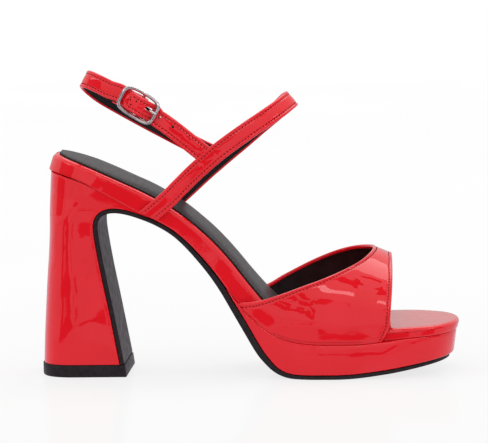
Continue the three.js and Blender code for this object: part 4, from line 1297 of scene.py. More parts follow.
    def _drummed(self, name: str, top: Array, low: Array) -> Object:
        """A block whose sides are divided and bulge slightly.

        Args:
            name: The object's name.
            top: The upper grid.
            low: The lower grid, with the same columns.

        Returns:
            The new object.
        """
        steps = 6
        upper, lower = [], []
        for column, sign in ((0, -1.0), (-1, 1.0)):
            a, b = top[:, column], low[:, column]
            deep = np.linalg.norm(a - b, axis=1)
            for grid, start, end in ((upper, 0.5, 0.0), (lower, 0.5, 1.0)):
                t = np.linspace(start, end, steps, endpoint=False)
                line = a[:, None] * (1 - t)[:, None] + b[:, None] * t[:, None]
                bulge = 0.3 * np.sin(math.pi * t) * np.clip(deep / 14, 0, 1)[:, None]
                line[..., 1] += sign * bulge
                grid.append(line if column == 0 else line[:, ::-1])
        face = np.concatenate([upper[0], top, upper[1]], axis=1)
        back = np.concatenate([lower[0], low, lower[1]], axis=1)
        self._pleats(face)
        self._pleats(back)
        return wall(name, face, back, [self.looks.patent])

    def _ring(self, back: Array, front: Array, half: Array) -> Array:
        """Levels of the heel, each a D in plan with small front corners.

        Args:
            back: Back point of each level.
            front: Front point of each level.
            half: Half width of each level.

        Returns:
            Levels by points by 3.
        """
        length = (front[:, 0] - back[:, 0])[:, None]
        curve = np.minimum(self.back_round, length * 0.62)
        angle = np.linspace(-1, 1, 61)[None, :] * (math.pi / 2)
        across = np.sign(angle) * np.abs(np.sin(angle)) ** (2 / self.back_square)
        along = 1 - np.abs(np.cos(angle)) ** (2 / self.back_square)
        x = back[:, :1] + along * curve
        y = self.last.heel_centre + across * half[:, None]
        z = lerp(back[:, 2:], front[:, 2:], along * curve / length)
        r = self.corner
        turn = np.linspace(0, math.pi / 2, 6)
        cx = front[:, :1] - r + r * np.cos(turn)[None, :]
        cy = half[:, None] - r + r * np.sin(turn)[None, :]
        cz = lerp(back[:, 2:], front[:, 2:], (cx - back[:, :1]) / length)
        share = np.linspace(0.75, 0.12, 8)[None, :]
        sx = lerp(x[:, -1:], front[:, :1] - r, 1 - share)
        sz = lerp(back[:, 2:], front[:, 2:], (sx - back[:, :1]) / length)
        sy = np.broadcast_to(half[:, None], sx.shape)
        mid = self.last.heel_centre
        xs = np.concatenate([cx, sx[:, ::-1], x, sx, cx[:, ::-1]], axis=1)
        zs = np.concatenate([cz, sz[:, ::-1], z, sz, cz[:, ::-1]], axis=1)
        ys = np.concatenate([mid - cy, mid - sy, y, mid + sy, mid + cy[:, ::-1]], axis=1)
        return np.stack([xs, ys, zs], axis=-1)

    def heel(self) -> Object:
        """The flared block, wrapped in patent with the lacquer's slow waves."""
        levels = Table(
            "front back_z",
            (
                (31, 6.6), (30, 16), (29, 28), (28, 42), (27, 57), (26.5, 65), (26, 72), (25.5, 78),
                (25, 83), (24.5, 87.5), (24, 91.5), (23.5, 95), (23, 98.3), (22.5, 101.4), (22, 104.2),
                (21.5, 107), (20.2, 108),
            ),
        )
        row = levels.path("front back_z")(np.linspace(0, levels.last, 97))
        s = self.last.outsole_at(row[:, 0])
        front = s.base + s.up * GAP
        back_z = row[:, 1]
        back = np.stack([self.last.heel_back(back_z), 0 * back_z, back_z], axis=1)
        rings = self._ring(back, front, self.last.heel_half(back_z))
        rings[0, :, 2] = self.lift_height + GAP
        rings[-1, :, 2] = self.last.seam_z(rings[-1, :, 0]) - SEAM
        inside = smoothstep(rings[..., 2], 12, 30) * (1 - smoothstep(rings[..., 2], 92, 104))
        front_fade = 1 - smoothstep(rings[..., 0], -84, -74)
        wave = 0.1 * ripple(rings, 38, 1.3) + 0.02 * ripple(rings, 15, 4.1)
        side = np.sign(rings[..., 1] - self.last.heel_centre)
        rings[..., 1] += side * wave * inside * (0.35 + 0.65 * front_fade)
        return fit(stack("heel_block", rings, [self.looks.patent]), "heel")

    def top_lift(self) -> Object:
        """The black lift under the heel."""
        s = self.last.outsole_at(np.array([float(self.last.sole.last)]))
        front = (s.base + s.up * GAP)[0]
        z = np.array([0, 0.12, 0.35, 0.8, 2.5, 4.5, self.lift_height - 0.25, self.lift_height])
        grow = self.lift_lip - np.interp(z, [0, 0.12, 0.35, 0.8, 6.0, 6.3], [0.5, 0.3, 0.12, 0, 0, 0.12])
        first = self.last.heel.rows[0]
        back = np.stack([first[0] - grow, 0 * z, z], axis=1)
        nose = front[0] + 2.3 + grow + (1 - z / self.lift_height) * 0.9
        nose = np.stack([nose, 0 * z, z], axis=1)
        rings = self._ring(back, nose, first[2] + grow)
        rings[..., 2] = z[:, None]
        return fit(stack("heel_lift", rings, [self.looks.rubber]), "top_lift")


# Upper


@dataclass
class Vamp:
    """The wide band over the forefoot.

    Attributes:
        last: The shared form.
        looks: The materials.
        thick: Wall thickness.
        bulge: Height of the widest line above the seam.
        crest_shift: The crest leans this far to the inner side.
        tuck: Share of the girth on each side that is below the widest line.
        edge_line: Distance of the stitches from the edges.
        fine_steps: Stations round the band.
        sewing_steps: Stations round the band for its stitches.
        foot_row: Station that the row of stitches at the foot follows.
        throat: Height of the outer and the inner topline at a place along the shoe.
        crest: Height of the middle line.
        front: Place of the front edge round the girth.
    """

    last: Last
    looks: Wardrobe
    thick: float = 1.8
    bulge: float = 8.0
    crest_shift: float = 5.0
    tuck: float = 0.14
    edge_line: float = 1.9
    fine_steps: int = 441
    sewing_steps: int = 361
    foot_row: int = 8
    throat: Table = Table(
        "x outer inner",
        (
            (-9, 39.6, 39.6), (-4.5, 40.6, 40.4), (4, 41.4, 41.6), (8.5, 42.2, 43), (16, 44.4, 47),
            (24, 47.1, 51), (32, 49.9, 54.8), (40, 52.5, 58.2), (48, 55.3, 61), (56, 58.4, 63),
            (62, 61.4, 64.2), (66.5, 64.6, 65.2), (70, 70.6, 70.6),
        ),
    )
    crest: Table = Table("x z", ((-10, 92.1), (10, 88.1), (30, 80.1), (50, 71.1), (66.5, 64.3), (80, 58.5)))
    front: Table = Table(
        "girth x",
        (
            (0.00, 71.2), (0.06, 73.2), (0.14, 75), (0.30, 76.2), (0.50, 75), (0.70, 73.6),
            (0.86, 72.6), (1.00, 70),
        ),
    )

    def __post_init__(self) -> None:
        """Prepares the smooth functions through the tables."""
        self.top_outer = self.throat.function("x", "outer")
        self.top_inner = self.throat.function("x", "inner")
        self.crest_z = self.crest.function("x", "z")
        self.front_x = self.front.function("girth", "x")

    def on_last(self, x: Array, girth: Array) -> Array:
        """Points on the lining side.

        Args:
            x: Places along the shoe.
            girth: Shares of the girth, from the outer seam over the crest to the inner seam.

        Returns:
            The points, in millimetres.
        """
        outer_side = girth < 0.5
        seam = self.last.seam_z(x) + SEAM
        wide = seam + self.bulge
        half = np.where(outer_side, self.last.plan_outer(x), self.last.plan_inner(x)) + 0.5
        side = np.where(outer_side, -1.0, 1.0)
        from_seam = np.where(outer_side, girth, 1 - girth)
        angle = np.clip((from_seam - self.tuck) / (0.5 - self.tuck), 0, 1) * (math.pi / 2)
        y = side * half * np.cos(angle) + self.crest_shift * np.sin(angle) ** 2
        over = wide + (self.crest_z(x) - self.thick - wide) * np.sin(angle)
        z = np.where(from_seam < self.tuck, lerp(seam, wide, from_seam / self.tuck), over)
        return np.stack([x + 0 * y, y, z], axis=-1)

    def throat_x(self, girth: Array) -> Array:
        """Where the back edge crosses each line of constant girth."""
        low, high = np.full(len(girth), -9.0), np.full(len(girth), 68.5)
        for _ in range(HALVINGS):
            middle = (low + high) / 2
            edge = lerp(self.top_outer(middle), self.top_inner(middle), smoothstep(girth, 0.36, 0.64))
            above = self.on_last(middle, girth)[..., 2] + self.thick * 0.5 > edge
            low, high = np.where(above, middle, low), np.where(above, high, middle)
        return (low + high) / 2

    def grid(self, steps: int) -> tuple[Array, Array, Array, Array]:
        """The band's lining side as rows of constant girth.

        Args:
            steps: Rows of the grid.

        Returns:
            Lining points, outward directions, and the distance of each from the back and front edge.
        """
        girth = np.linspace(0, 1, steps)
        start, end = self.throat_x(girth), self.front_x(girth)
        near = np.array([0, 0.06, 0.18, 0.36, 0.6, 0.85, 1.1, 1.35, 1.6, 1.8, 2.0, 2.25, 2.6, 3.2, 4.2])
        slant = [self._slant(girth, start), self._slant(girth, end)]
        span = end - start
        first = np.minimum(near[None, :] / slant[0][:, None], (span * 0.45)[:, None] * near / near[-1])
        last = np.minimum(near[None, :] / slant[1][:, None], (span * 0.3)[:, None] * near / near[-1])
        begin, finish = start[:, None] + first, end[:, None] - last[:, ::-1]
        between = np.linspace(0, 1, 30)[1:-1]
        middle = lerp(begin[:, -1:], finish[:, :1], between[None, :])
        x = np.concatenate([begin, middle, finish], axis=1)
        g = np.broadcast_to(girth[:, None], x.shape)
        points = self.on_last(x, g)
        step = 0.004
        along = self.on_last(x + 0.5, g) - self.on_last(x - 0.5, g)
        around = self.on_last(x, np.minimum(g + step, 1)) - self.on_last(x, np.maximum(g - step, 0))
        out = -unit(np.cross(around, along))
        flip = out[..., 1] * (points[..., 1] - 5) + out[..., 2] * 20 < 0
        out = np.where(flip[..., None], -out, out)
        from_back = (x - start[:, None]) * slant[0][:, None]
        from_front = (end[:, None] - x) * slant[1][:, None]
        return points, out, from_back, from_front

    def _slant(self, girth: Array, x: Array) -> Array:
        """The sine of the angle between an edge and the lines of constant girth."""
        edge = np.gradient(self.on_last(x, girth), axis=0)
        along = self.on_last(x + 0.5, girth) - self.on_last(x - 0.5, girth)
        return np.clip(np.linalg.norm(np.cross(unit(edge), unit(along)), axis=1), 0.12, 1)

    def _on_line(self, points: Array, distance: Array) -> Array:
        """The point of each row of a grid that lies on the line of stitches."""
        k = np.argmin(np.abs(distance - self.edge_line), axis=1)
        return points[np.arange(len(k)), k]

    def heights(self, points: Array, from_back: Array, from_front: Array) -> tuple[Array, Array]:
        """Heights of both faces over the lining side, with turned edges.

        Args:
            points: Points of the lining side.
            from_back: Distance from the back edge.
            from_front: Distance from the front edge.

        Returns:
            Height of the outer face and of the inner face.
        """
        near = np.clip(np.minimum(from_back, from_front) / 0.9, 0, 1)
        curl = np.sqrt(np.clip(1 - (1 - near) ** 2, 0, 1)) * self.thick / 2
        relief = 0.0
        for distance in (from_back, from_front):
            edge = self._on_line(points, distance)
            along = np.concatenate([[0], np.cumsum(np.linalg.norm(np.diff(edge, axis=0), axis=1))])
            pull = np.cos(math.pi * along / Stitch.pitch)[:, None] ** 2
            groove = 0.2 * bump(distance, self.edge_line, 0.36) + 0.12 * pull * bump(distance, 1.8, 0.6)
            relief = relief + 0.28 * bump(distance, 0.85, 0.46) - groove
        inside = smoothstep(np.minimum(from_back, from_front), 3, 12)
        swell = 0.3 * ripple(points, 34, 0.8) + 0.04 * ripple(points, 15, 2.6)
        rise = points[..., 2] - self.last.seam_z(points[..., 0])
        foot = 0.8 * (1 - smoothstep(rise, 0, 2.6))
        return self.thick / 2 + curl + relief + inside * swell - foot, self.thick / 2 - curl

    def build(self) -> Object:
        """The band itself, with its black lining."""
        points, out, from_back, from_front = self.grid(self.fine_steps)
        face, back = self.heights(points, from_back, from_front)
        outer = points + out * face[..., None]
        inner = points + out * back[..., None]
        return fit(wall("forefoot_band", outer, inner, self.looks.upper, 7), "vamp")

    def stitches(self, tree: StitchTree) -> Object:
        """Rows of stitches along both edges, the lining's seam inside the throat and one at the foot."""
        points, out, from_back, from_front = self.grid(self.sewing_steps)
        face, back = self.heights(points, from_back, from_front)
        outer = points + out * (face + 0.02)[..., None]
        lines = []
        for distance in (from_back, from_front):
            lines.append(self._on_line(outer, distance)[8:-8])
        trim(tree.sew("band_stitches", lines, Stitch(), self.looks.red_thread_with_painted_shade))
        inside = self._on_line(points + out * (back - 0.05)[..., None], from_back)
        seam = Stitch(2.1, 1.2, 0.4)
        trim(tree.sew("lining_stitches", [inside[12:-12]], seam, self.looks.black_thread))
        foot = [outer[self.foot_row, 20:-17]]
        return trim(tree.sew("foot_stitches", foot, Stitch(1.3, 0.7, 0.34), self.looks.red_thread_with_painted_shade))


@dataclass
class Strap:
    """A flat strap with turned, stitched edges.

    Attributes:
        width: Its full width.
        thick: Its thickness.
        edge: Width of each rounded edge.
        line: Distance of the stitches from each edge.
        wave: Seed of its slow waves.
    """

    width: float = 9.6
    thick: float = 1.8
    edge: float = 0.7
    line: float = 1.9
    wave: float = 0.0

    def columns(self) -> Array:
        """Places across the strap, closer together at its edges and stitches."""
        near = np.array([0, 0.05, 0.16, 0.34, 0.6, 0.9, 1.2, 1.5, 1.7, 1.9, 2.1, 2.35, 2.8, 3.4, 4.1])
        half = self.width / 2
        return np.concatenate([near / half - 1, [0], (1 - near / half)[::-1]])

    def profile(self, share: Array, half: Array) -> Array:
        """Half the thickness of the leather at a place across the strap.

        Args:
            share: The place, from -1 to 1.
            half: Half the strap's width there.

        Returns:
            Half the thickness, from 0.16 of the wall at the very edge.
        """
        d = half * (1 - np.abs(share))
        near = np.clip(d / self.edge, 0, 1)
        return self.thick * (0.16 + 0.34 * np.sqrt(np.clip(1 - (1 - near) ** 2, 0, 1)))

    def relief(self, share: Array, half: Array, along: Array) -> Array:
        """Extra height of the outer face: a bead at each edge and a puckered groove under the stitches.

        Args:
            share: The place across the strap, from -1 to 1.
            half: Half the strap's width there.
            along: Distance along the strap.

        Returns:
            The height.
        """
        d = half * (1 - np.abs(share))
        pull = np.cos(math.pi * along / Stitch.pitch) ** 2
        groove = 0.2 * bump(d, self.line, 0.34) + 0.13 * pull * bump(d, self.line - 0.1, 0.62)
        return 0.2 * bump(d, 0.9, 0.46) - groove + 0.1 * smoothstep(d, 2.2, 4.5)

    def surfaces(self, frames: "Frames", half: Array, thin: Array) -> tuple[Array, Array]:
        """Outer and inner grid of the strap.

        Args:
            frames: Frames along it, rows by columns.
            half: Half width at each row.
            thin: Share of the thickness at each row.

        Returns:
            The two grids.
        """
        share = self.columns()[None, :]
        h = half[:, None]
        n = self.profile(share, h) * thin[:, None]
        w = share * h
        base = frames.centre + frames.across * w[..., None]
        step = np.linalg.norm(np.diff(base[:, len(share[0]) // 2], axis=0), axis=1)
        along = np.concatenate([[0], np.cumsum(step)])[:, None]
        swell = 0.1 * ripple(base, 21, self.wave) + 0.05 * ripple(base, 9, self.wave + 1)
        swell = swell * smoothstep(h * (1 - np.abs(share)), 1.2, 3.5)
        raised = n + (self.relief(share, h, along) + swell) * thin[:, None]
        return base + frames.out * raised[..., None], base - frames.out * n[..., None]


@dataclass
class Frames:
    """Frames along a strap, each array rows by columns by 3.

    Attributes:
        centre: The strap's middle.
        out: The direction its face looks in.
        across: Its width direction.
    """

    centre: Array
    out: Array
    across: Array


def frames_of(centre: Array, out: Array) -> Frames:
    """Frames from centres and face directions.

    Args:
        centre: Points along the strap.
        out: The face direction at each.

    Returns:
        Frames with one column.
    """
    forward = unit(np.gradient(centre, axis=0))
    out = unit(out - forward * np.sum(out * forward, axis=1, keepdims=True))
    return Frames(centre[:, None], out[:, None], np.cross(forward, out)[:, None])


@dataclass
class BuckleAxes:
    """The buckle's own axes: s along the strap, n out of the foot, w across.

    Attributes:
        centre: The middle of its bar.
        forward: The direction of s.
        out_hint: The rough direction of n.
    """

    centre: tuple = (-54.8, -21.0, 143.4)
    forward: tuple = (0.84, -0.2, -0.5)
    out_hint: tuple = (-0.2, -0.97, 0.06)

    def __post_init__(self) -> None:
        """Makes the three directions square to each other."""
        self.s = unit(np.array(self.forward))
        hint = np.array(self.out_hint)
        self.n = unit(hint - self.s * (hint @ self.s))
        self.w = np.cross(self.s, self.n)

    def at(self, s: Array, n: Array, w: Array = 0.0) -> Array:
        """Points at the given places on the axes."""
        s, n, w = np.broadcast_arrays(*(np.asarray(v, float) for v in (s, n, w)))
        return np.array(self.centre) + s[..., None] * self.s + n[..., None] * self.n + w[..., None] * self.w

    def turned(self, ds: Array, dn: Array) -> Array:
        """Face directions of frames that travel along ds and dn."""
        ds, dn = np.asarray(ds, float), np.asarray(dn, float)
        return unit(-dn[..., None] * self.s + ds[..., None] * self.n)


@dataclass
class AnkleStraps:
    """Instep band, back sling with its fold, and buckle tail.

    Attributes:
        looks: The materials.
        axes: The buckle's axes.
        trim_x: A point of the line that trims the band's ends.
        trim_z: Its height.
        trim_slope: The line's slope.
        hole: Radius of a spare hole.
        prong_shift: The prong's hole lies this far from the strap's middle.
        wire: Radius of the buckle's bar.
        tail_shift: The spare holes lie this far from the strap's middle.
        pinholes: Places of the small holes near the tail's tip, on the buckle's s and w.
        pinhole: Radius of a small hole.
        tail_slot: Radius and length of the prong's hole in the tail.
        fold_slot: Radius and length of the prong's slot in the sling's fold.
        spare_holes: Places of the spare holes, as shares of the tail's rows.
        tip_length: Length of the tail's rounded tip.
        band_steps: Stations along the instep band.
        sling_steps: Stations along the sling.
        tail_steps: Stations along the tail.
        cross_rows: Stations of the sling that a row of stitches crosses.
        thread_lift: How far a stitch's middle lies above the leather.
        band_rows: Points of the band from the outer end to the inner one, with its outward normals.
        sling_rows: Points of the sling from the inner side round the heel to the buckle, with normals.
        tail_rows: Points of the tail from its tip to the instep band, with normals.
    """

    looks: Wardrobe
    axes: BuckleAxes
    trim_x: float = -49.9
    trim_z: float = 85.3
    trim_slope: float = -0.474
    hole: float = 0.82
    prong_shift: float = -0.9
    wire: float = 0.9
    tail_shift: float = -1.1
    pinholes: tuple = ((-4.6, -0.6), (-3.0, 1.3), (-1.2, -1.6))
    pinhole: float = 0.42
    tail_slot: tuple = (1.15, 2.4)
    fold_slot: tuple = (1.5, 3.6)
    spare_holes: tuple = (0.05, 0.275)
    tip_length: float = 3.4
    band_steps: int = 561
    sling_steps: int = 400
    tail_steps: int = 200
    cross_rows: tuple = (372, 26)
    thread_lift: float = 0.03
    band_rows: Table = Table(
        "x y z nx ny nz",
        (
            (-59.4, -27.55, 79, 0, -1, -0.05), (-42.3, -27.35, 92.7, 0, -1, 0),
            (-35, -28.3, 99.7, 0, -1, 0.03), (-27.4, -29.3, 107.1, 0.02, -1, 0.06),
            (-20.6, -29.8, 113.1, 0.04, -1, 0.1), (-12, -28.8, 120.1, 0.08, -1, 0.16),
            (2.2, -24.8, 129.9, 0.2, -1, 0.3), (11.2, -20, 135.6, 0.36, -0.9, 0.42),
            (18.2, -13.2, 140.1, 0.56, -0.65, 0.52), (22.4, -6, 143.1, 0.72, -0.3, 0.6),
            (23.6, 1, 143.9, 0.77, 0, 0.63), (21.3, 8, 142.4, 0.72, 0.34, 0.6),
            (15.3, 15.2, 136.7, 0.5, 0.75, 0.45), (6.1, 21.2, 129, 0.26, 0.95, 0.26),
            (-4.9, 25.4, 119.6, 0.1, 1, 0.12), (-15.1, 27.6, 111.2, 0.04, 1, 0.06),
            (-25.5, 27.3, 102.4, 0, 1, 0.02), (-36.7, 25.1, 92.4, 0, 1, 0),
            (-52.3, 23.95, 78.9, 0, 1, 0),
        ),
    )
    sling_rows: Table = Table(
        "x y z nx ny nz",
        (
            (-17.3, 26, 111.4, 0, 1, 0.03), (-26, 26.2, 115.6, 0, 1, 0.03),
            (-37.6, 25.8, 121.7, -0.04, 1, 0.05), (-54, 22.6, 131.1, -0.1, 1, 0.08),
            (-67, 18, 139.1, -0.22, 1, 0.12), (-77.4, 12.4, 146.1, -0.4, 0.85, 0.2),
            (-83.2, 6.6, 151.7, -0.66, 0.55, 0.33), (-85.4, 0.4, 155.5, -0.82, 0, 0.46),
            (-83, -6.4, 156.1, -0.62, -0.6, 0.33), (-77.8, -11, 154.3, -0.3, -0.95, 0.12),
            (-71.2, -14.6, 151.4, -0.16, -1, 0.05),
        ),
    )
    tail_rows: Table = Table(
        "x y z nx ny nz",
        (
            (-45.6, -23.2, 136.8, -0.18, -1, 0.03), (-38.6, -25.5, 132, -0.04, -1, 0.08),
            (-29.6, -27.2, 125, 0, -1, 0.06), (-21.6, -28.4, 118.6, 0, -1, 0.06),
            (-15.2, -28.1, 113.7, 0, -1, 0.06),
        ),
    )

    def band(self) -> Object:
        """The instep band, from the outer sole edge over the instep to the inner one."""
        strap = Strap(wave=0.4)
        path = self.band_rows.path("x y z nx ny nz")
        shares = strap.columns() * strap.width / 2
        ends = []
        for low, high in ((0.0, 3.0), (self.band_rows.last - 3.0, float(self.band_rows.last))):
            a, b = np.full(len(shares), low), np.full(len(shares), high)
            falling = low > 0
            for _ in range(HALVINGS):
                middle = (a + b) / 2
                p = self._band_point(path, middle, shares)
                under = p[:, 2] < self.trim_z + (p[:, 0] - self.trim_x) * self.trim_slope
                go_up = under != falling
                a, b = np.where(go_up, middle, a), np.where(go_up, b, middle)
            ends.append((a + b) / 2)
        count = self.band_steps
        rows = np.linspace(0, 1, count)[:, None]
        at = lerp(ends[0][None, :], ends[1][None, :], rows)
        frames = self._band_frames(path, at)
        face, back = strap.surfaces(frames, np.full(count, strap.width / 2), np.ones(count))
        self.band_face = (strap, face, back)
        return fit(wall("instep_band", face, back, self.looks.upper, 5), "ankle_straps")

    def _band_frames(self, path: Reader, at: Array) -> Frames:
        """Frames of the band at any row numbers."""
        r = path(at)
        last = float(self.band_rows.last)
        step = path(np.minimum(at + 0.02, last))[..., :3] - path(np.maximum(at - 0.02, 0))[..., :3]
        forward = unit(step)
        out = r[..., 3:]
        out = unit(out - forward * np.sum(out * forward, axis=-1, keepdims=True))
        return Frames(r[..., :3], out, np.cross(forward, out))

    def _band_point(self, path: Reader, at: Array, w: Array) -> Array:
        """Points of the band's middle surface at row numbers and widths."""
        f = self._band_frames(path, at)
        return f.centre + f.across * w[:, None]

    def sling_line(self) -> Array:
        """Centres and face directions of the sling and its fold round the buckle's bar."""
        path = self.sling_rows.path("x y z nx ny nz")
        r = path(np.linspace(0, self.sling_rows.last, 29))
        radius = self.wire + GAP + Strap.thick / 2
        fold = [(-12, -0.9, 1, 0.15, 0), (-9.5, -0.45, 1, 0.15, 0)]
        fold += [(-6.5, 0.15, 1, 0.22, 0), (-3.6, 1.05, 1, 0.28, 0)]
        for i in range(9):
            angle = math.pi / 2 - i / 8 * math.pi
            c, s = math.cos(angle), math.sin(angle)
            fold.append((radius * c, radius * s, s, -c, 0))
        fold += [(-3.5, -2.1, -1, 0, 0.1), (-6.5, -1.5, -1, 0, 0.5), (-9.5, -2.05, -1, 0.1, 1.0)]
        fold += [(-12, -2.5, -1, 0.15, 1.7), (-15, -3.6, -1, 0.25, 2.2)]
        f = np.array(fold, float)
        centres = self.axes.at(f[:, 0], f[:, 1], f[:, 4])
        outs = self.axes.turned(f[:, 2], f[:, 3])
        rows = np.concatenate([r, np.concatenate([centres, outs], axis=1)])
        return resampled(rows, self.sling_steps)

    def sling(self) -> Object:
        """The back sling, folded round the buckle's bar."""
        strap = Strap(wave=2.2)
        line = self.sling_line()
        frames = frames_of(line[:, :3], line[:, 3:])
        count = len(line)
        thin = lerp(0.45, 1.0, smoothstep(np.arange(count), 5, 32))
        face, back = strap.surfaces(frames, np.full(count, strap.width / 2), thin)
        piece = wall("back_sling", face, back, self.looks.upper, 5)
        middle = self.axes.at(self.wire, 0, self.prong_shift)
        slot = self._pin(middle, self.axes.n, *self.fold_slot, self.axes.s, 5)
        combine(piece, [slot], "DIFFERENCE")
        piece.data.set_sharp_from_angle(angle=CREASE)
        self.sling_face = (strap, face, back)
        return fit(piece, "ankle_straps")

    def tail_line(self) -> tuple[Array, Array]:
        """Centres, face directions and half widths of the tail from its tip."""
        heights = Table(
            "s n",
            ((-8.0, 2.2), (-4, 3.3), (0, 3.8), (2.5, 3.5), (5, 2.3), (7, 1.0), (9, 0.15), (12, 0.0)),
        ).function("s", "n")
        s = np.concatenate([np.linspace(-7.6, 7.2, 30), [8.1, 9]])
        dn = (heights(s + 0.1) - heights(s - 0.1)) / 0.2
        tip = np.concatenate([self.axes.at(s, heights(s)), self.axes.turned(np.ones(len(s)), dn)], axis=1)
        path = self.tail_rows.path("x y z nx ny nz")
        rows = np.concatenate([tip, path(np.linspace(0, self.tail_rows.last, 13))])
        line = resampled(rows, self.tail_steps)
        step = np.linalg.norm(np.diff(line[:, :3], axis=0), axis=1)
        far = np.concatenate([[0], np.cumsum(step)])
        tip = np.clip((far + 0.25) / self.tip_length, 0, 1)
        return line, Strap.width / 2 * np.sqrt(np.clip(1 - (1 - tip) ** 2.2, 0, 1))

    def tail(self) -> Object:
        """The tail through the buckle, with its punched holes."""
        strap = Strap(wave=3.1)
        line, half = self.tail_line()
        count = len(line)
        thin = lerp(1.0, 0.4, smoothstep(np.arange(count), count - 24, count - 8))
        frames = frames_of(line[:, :3], line[:, 3:])
        face, back = strap.surfaces(frames, half, thin)
        piece = wall("buckle_tail", face, back, self.looks.upper, 5)
        self.tail_face = (strap, face, back)
        pins = []
        spots = [(self.axes.at(5.8, 1.8), self.prong_shift, *self.tail_slot)]
        for s, w in self.pinholes:
            spots.append((self.axes.at(s, 3.4), w, self.pinhole, 0.0))
        path = self.tail_rows.path("x y z")
        for place in self.spare_holes:
            spots.append((path(np.array(place * self.tail_rows.last)), self.tail_shift, self.hole, 0.0))
        for spot, shift, radius, length in spots:
            i = int(np.argmin(np.linalg.norm(line[:, :3] - spot, axis=1)))
            out, across = frames.out[i, 0], frames.across[i, 0]
            centre = line[i, :3] + across * shift
            pins.append(self._pin(centre, out, radius, length, np.cross(out, across), 8))
        combine(piece, pins, "DIFFERENCE")
        piece.data.set_sharp_from_angle(angle=CREASE)
        return fit(piece, "ankle_straps")

    def _pin(
        self, centre: Array, out: Array, radius: float, length: float, along: Array, depth: float
    ) -> Object:
        """A cutter for a round hole or, where length isn't 0, a slot.

        Args:
            centre: The middle of the hole.
            out: The direction it is cut in.
            radius: Its radius.
            length: Distance between the slot's two round ends.
            along: The slot's direction.
            depth: Length of the cutter.

        Returns:
            The cutter, which combine removes.
        """
        turn = np.linspace(-math.pi / 2, math.pi / 2, 13)
        shape = np.stack([length / 2 + radius * np.cos(turn), radius * np.sin(turn)], axis=1)
        shape = np.concatenate([shape, -shape])
        across = np.cross(out, along)
        ring = centre + shape[:, :1] * along + shape[:, 1:] * across
        rings = np.stack([ring - out * depth / 2, ring + out * depth / 2])
        return stack("cutter", rings, [self.looks.lining])

    def _row(self, strap: Strap, face: Array, side: Side, skip: tuple[int, int]) -> Array:
        """A line of stitch points along one edge of a strap.

        Args:
            strap: The strap.
            face: Its outer grid.
            side: Which edge.
            skip: Rows left out at the start and at the end.

        Returns:
            The points.
        """
        columns = strap.columns()
        target = side.value * (1 - strap.line / (strap.width / 2))
        k = int(np.argmin(np.abs(columns - target)))
        line = face[skip[0] : len(face) - skip[1], k]
        around = unit(np.cross(np.gradient(face, axis=0)[:, k], np.gradient(face, axis=1)[:, k]))
        around = around[skip[0] : len(face) - skip[1]]
        return line - around * self.thread_lift

    def stitches(self, tree: StitchTree) -> list[Object]:
        """The stitches of all three straps."""
        made = []
        plans = (
            ("band_edge_stitches", self.band_face, (3, 3)),
            ("sling_stitches", self.sling_face, (24, 62)),
            ("tail_stitches", self.tail_face, (16, 4)),
        )
        for name, (strap, face, _), skip in plans:
            lines = [self._row(strap, face, side, skip) for side in Side]
            if name == "tail_stitches":
                lines.append(self._round_tip(strap, face))
            if name == "sling_stitches":
                lines += [face[row, 9:-9] for row in self.cross_rows]
            made.append(trim(tree.sew(name, lines, Stitch(), self.looks.red_thread_with_painted_shade)))
        return made

    def _round_tip(self, strap: Strap, face: Array) -> Array:
        """The stitches round the tail's tip, joining the two side rows."""
        columns = strap.columns()
        edge = 1 - strap.line / (strap.width / 2)
        inside = np.flatnonzero(np.abs(columns) <= edge + 0.01)
        line = []
        for k in inside[:: max(1, len(inside) // 8)]:
            bend = math.sqrt(max(0.0, 1 - (columns[k] / (edge + 0.02)) ** 2))
            line.append(face[int(round(16 - 9 * bend)), k])
        return resampled(np.array(line), 24)


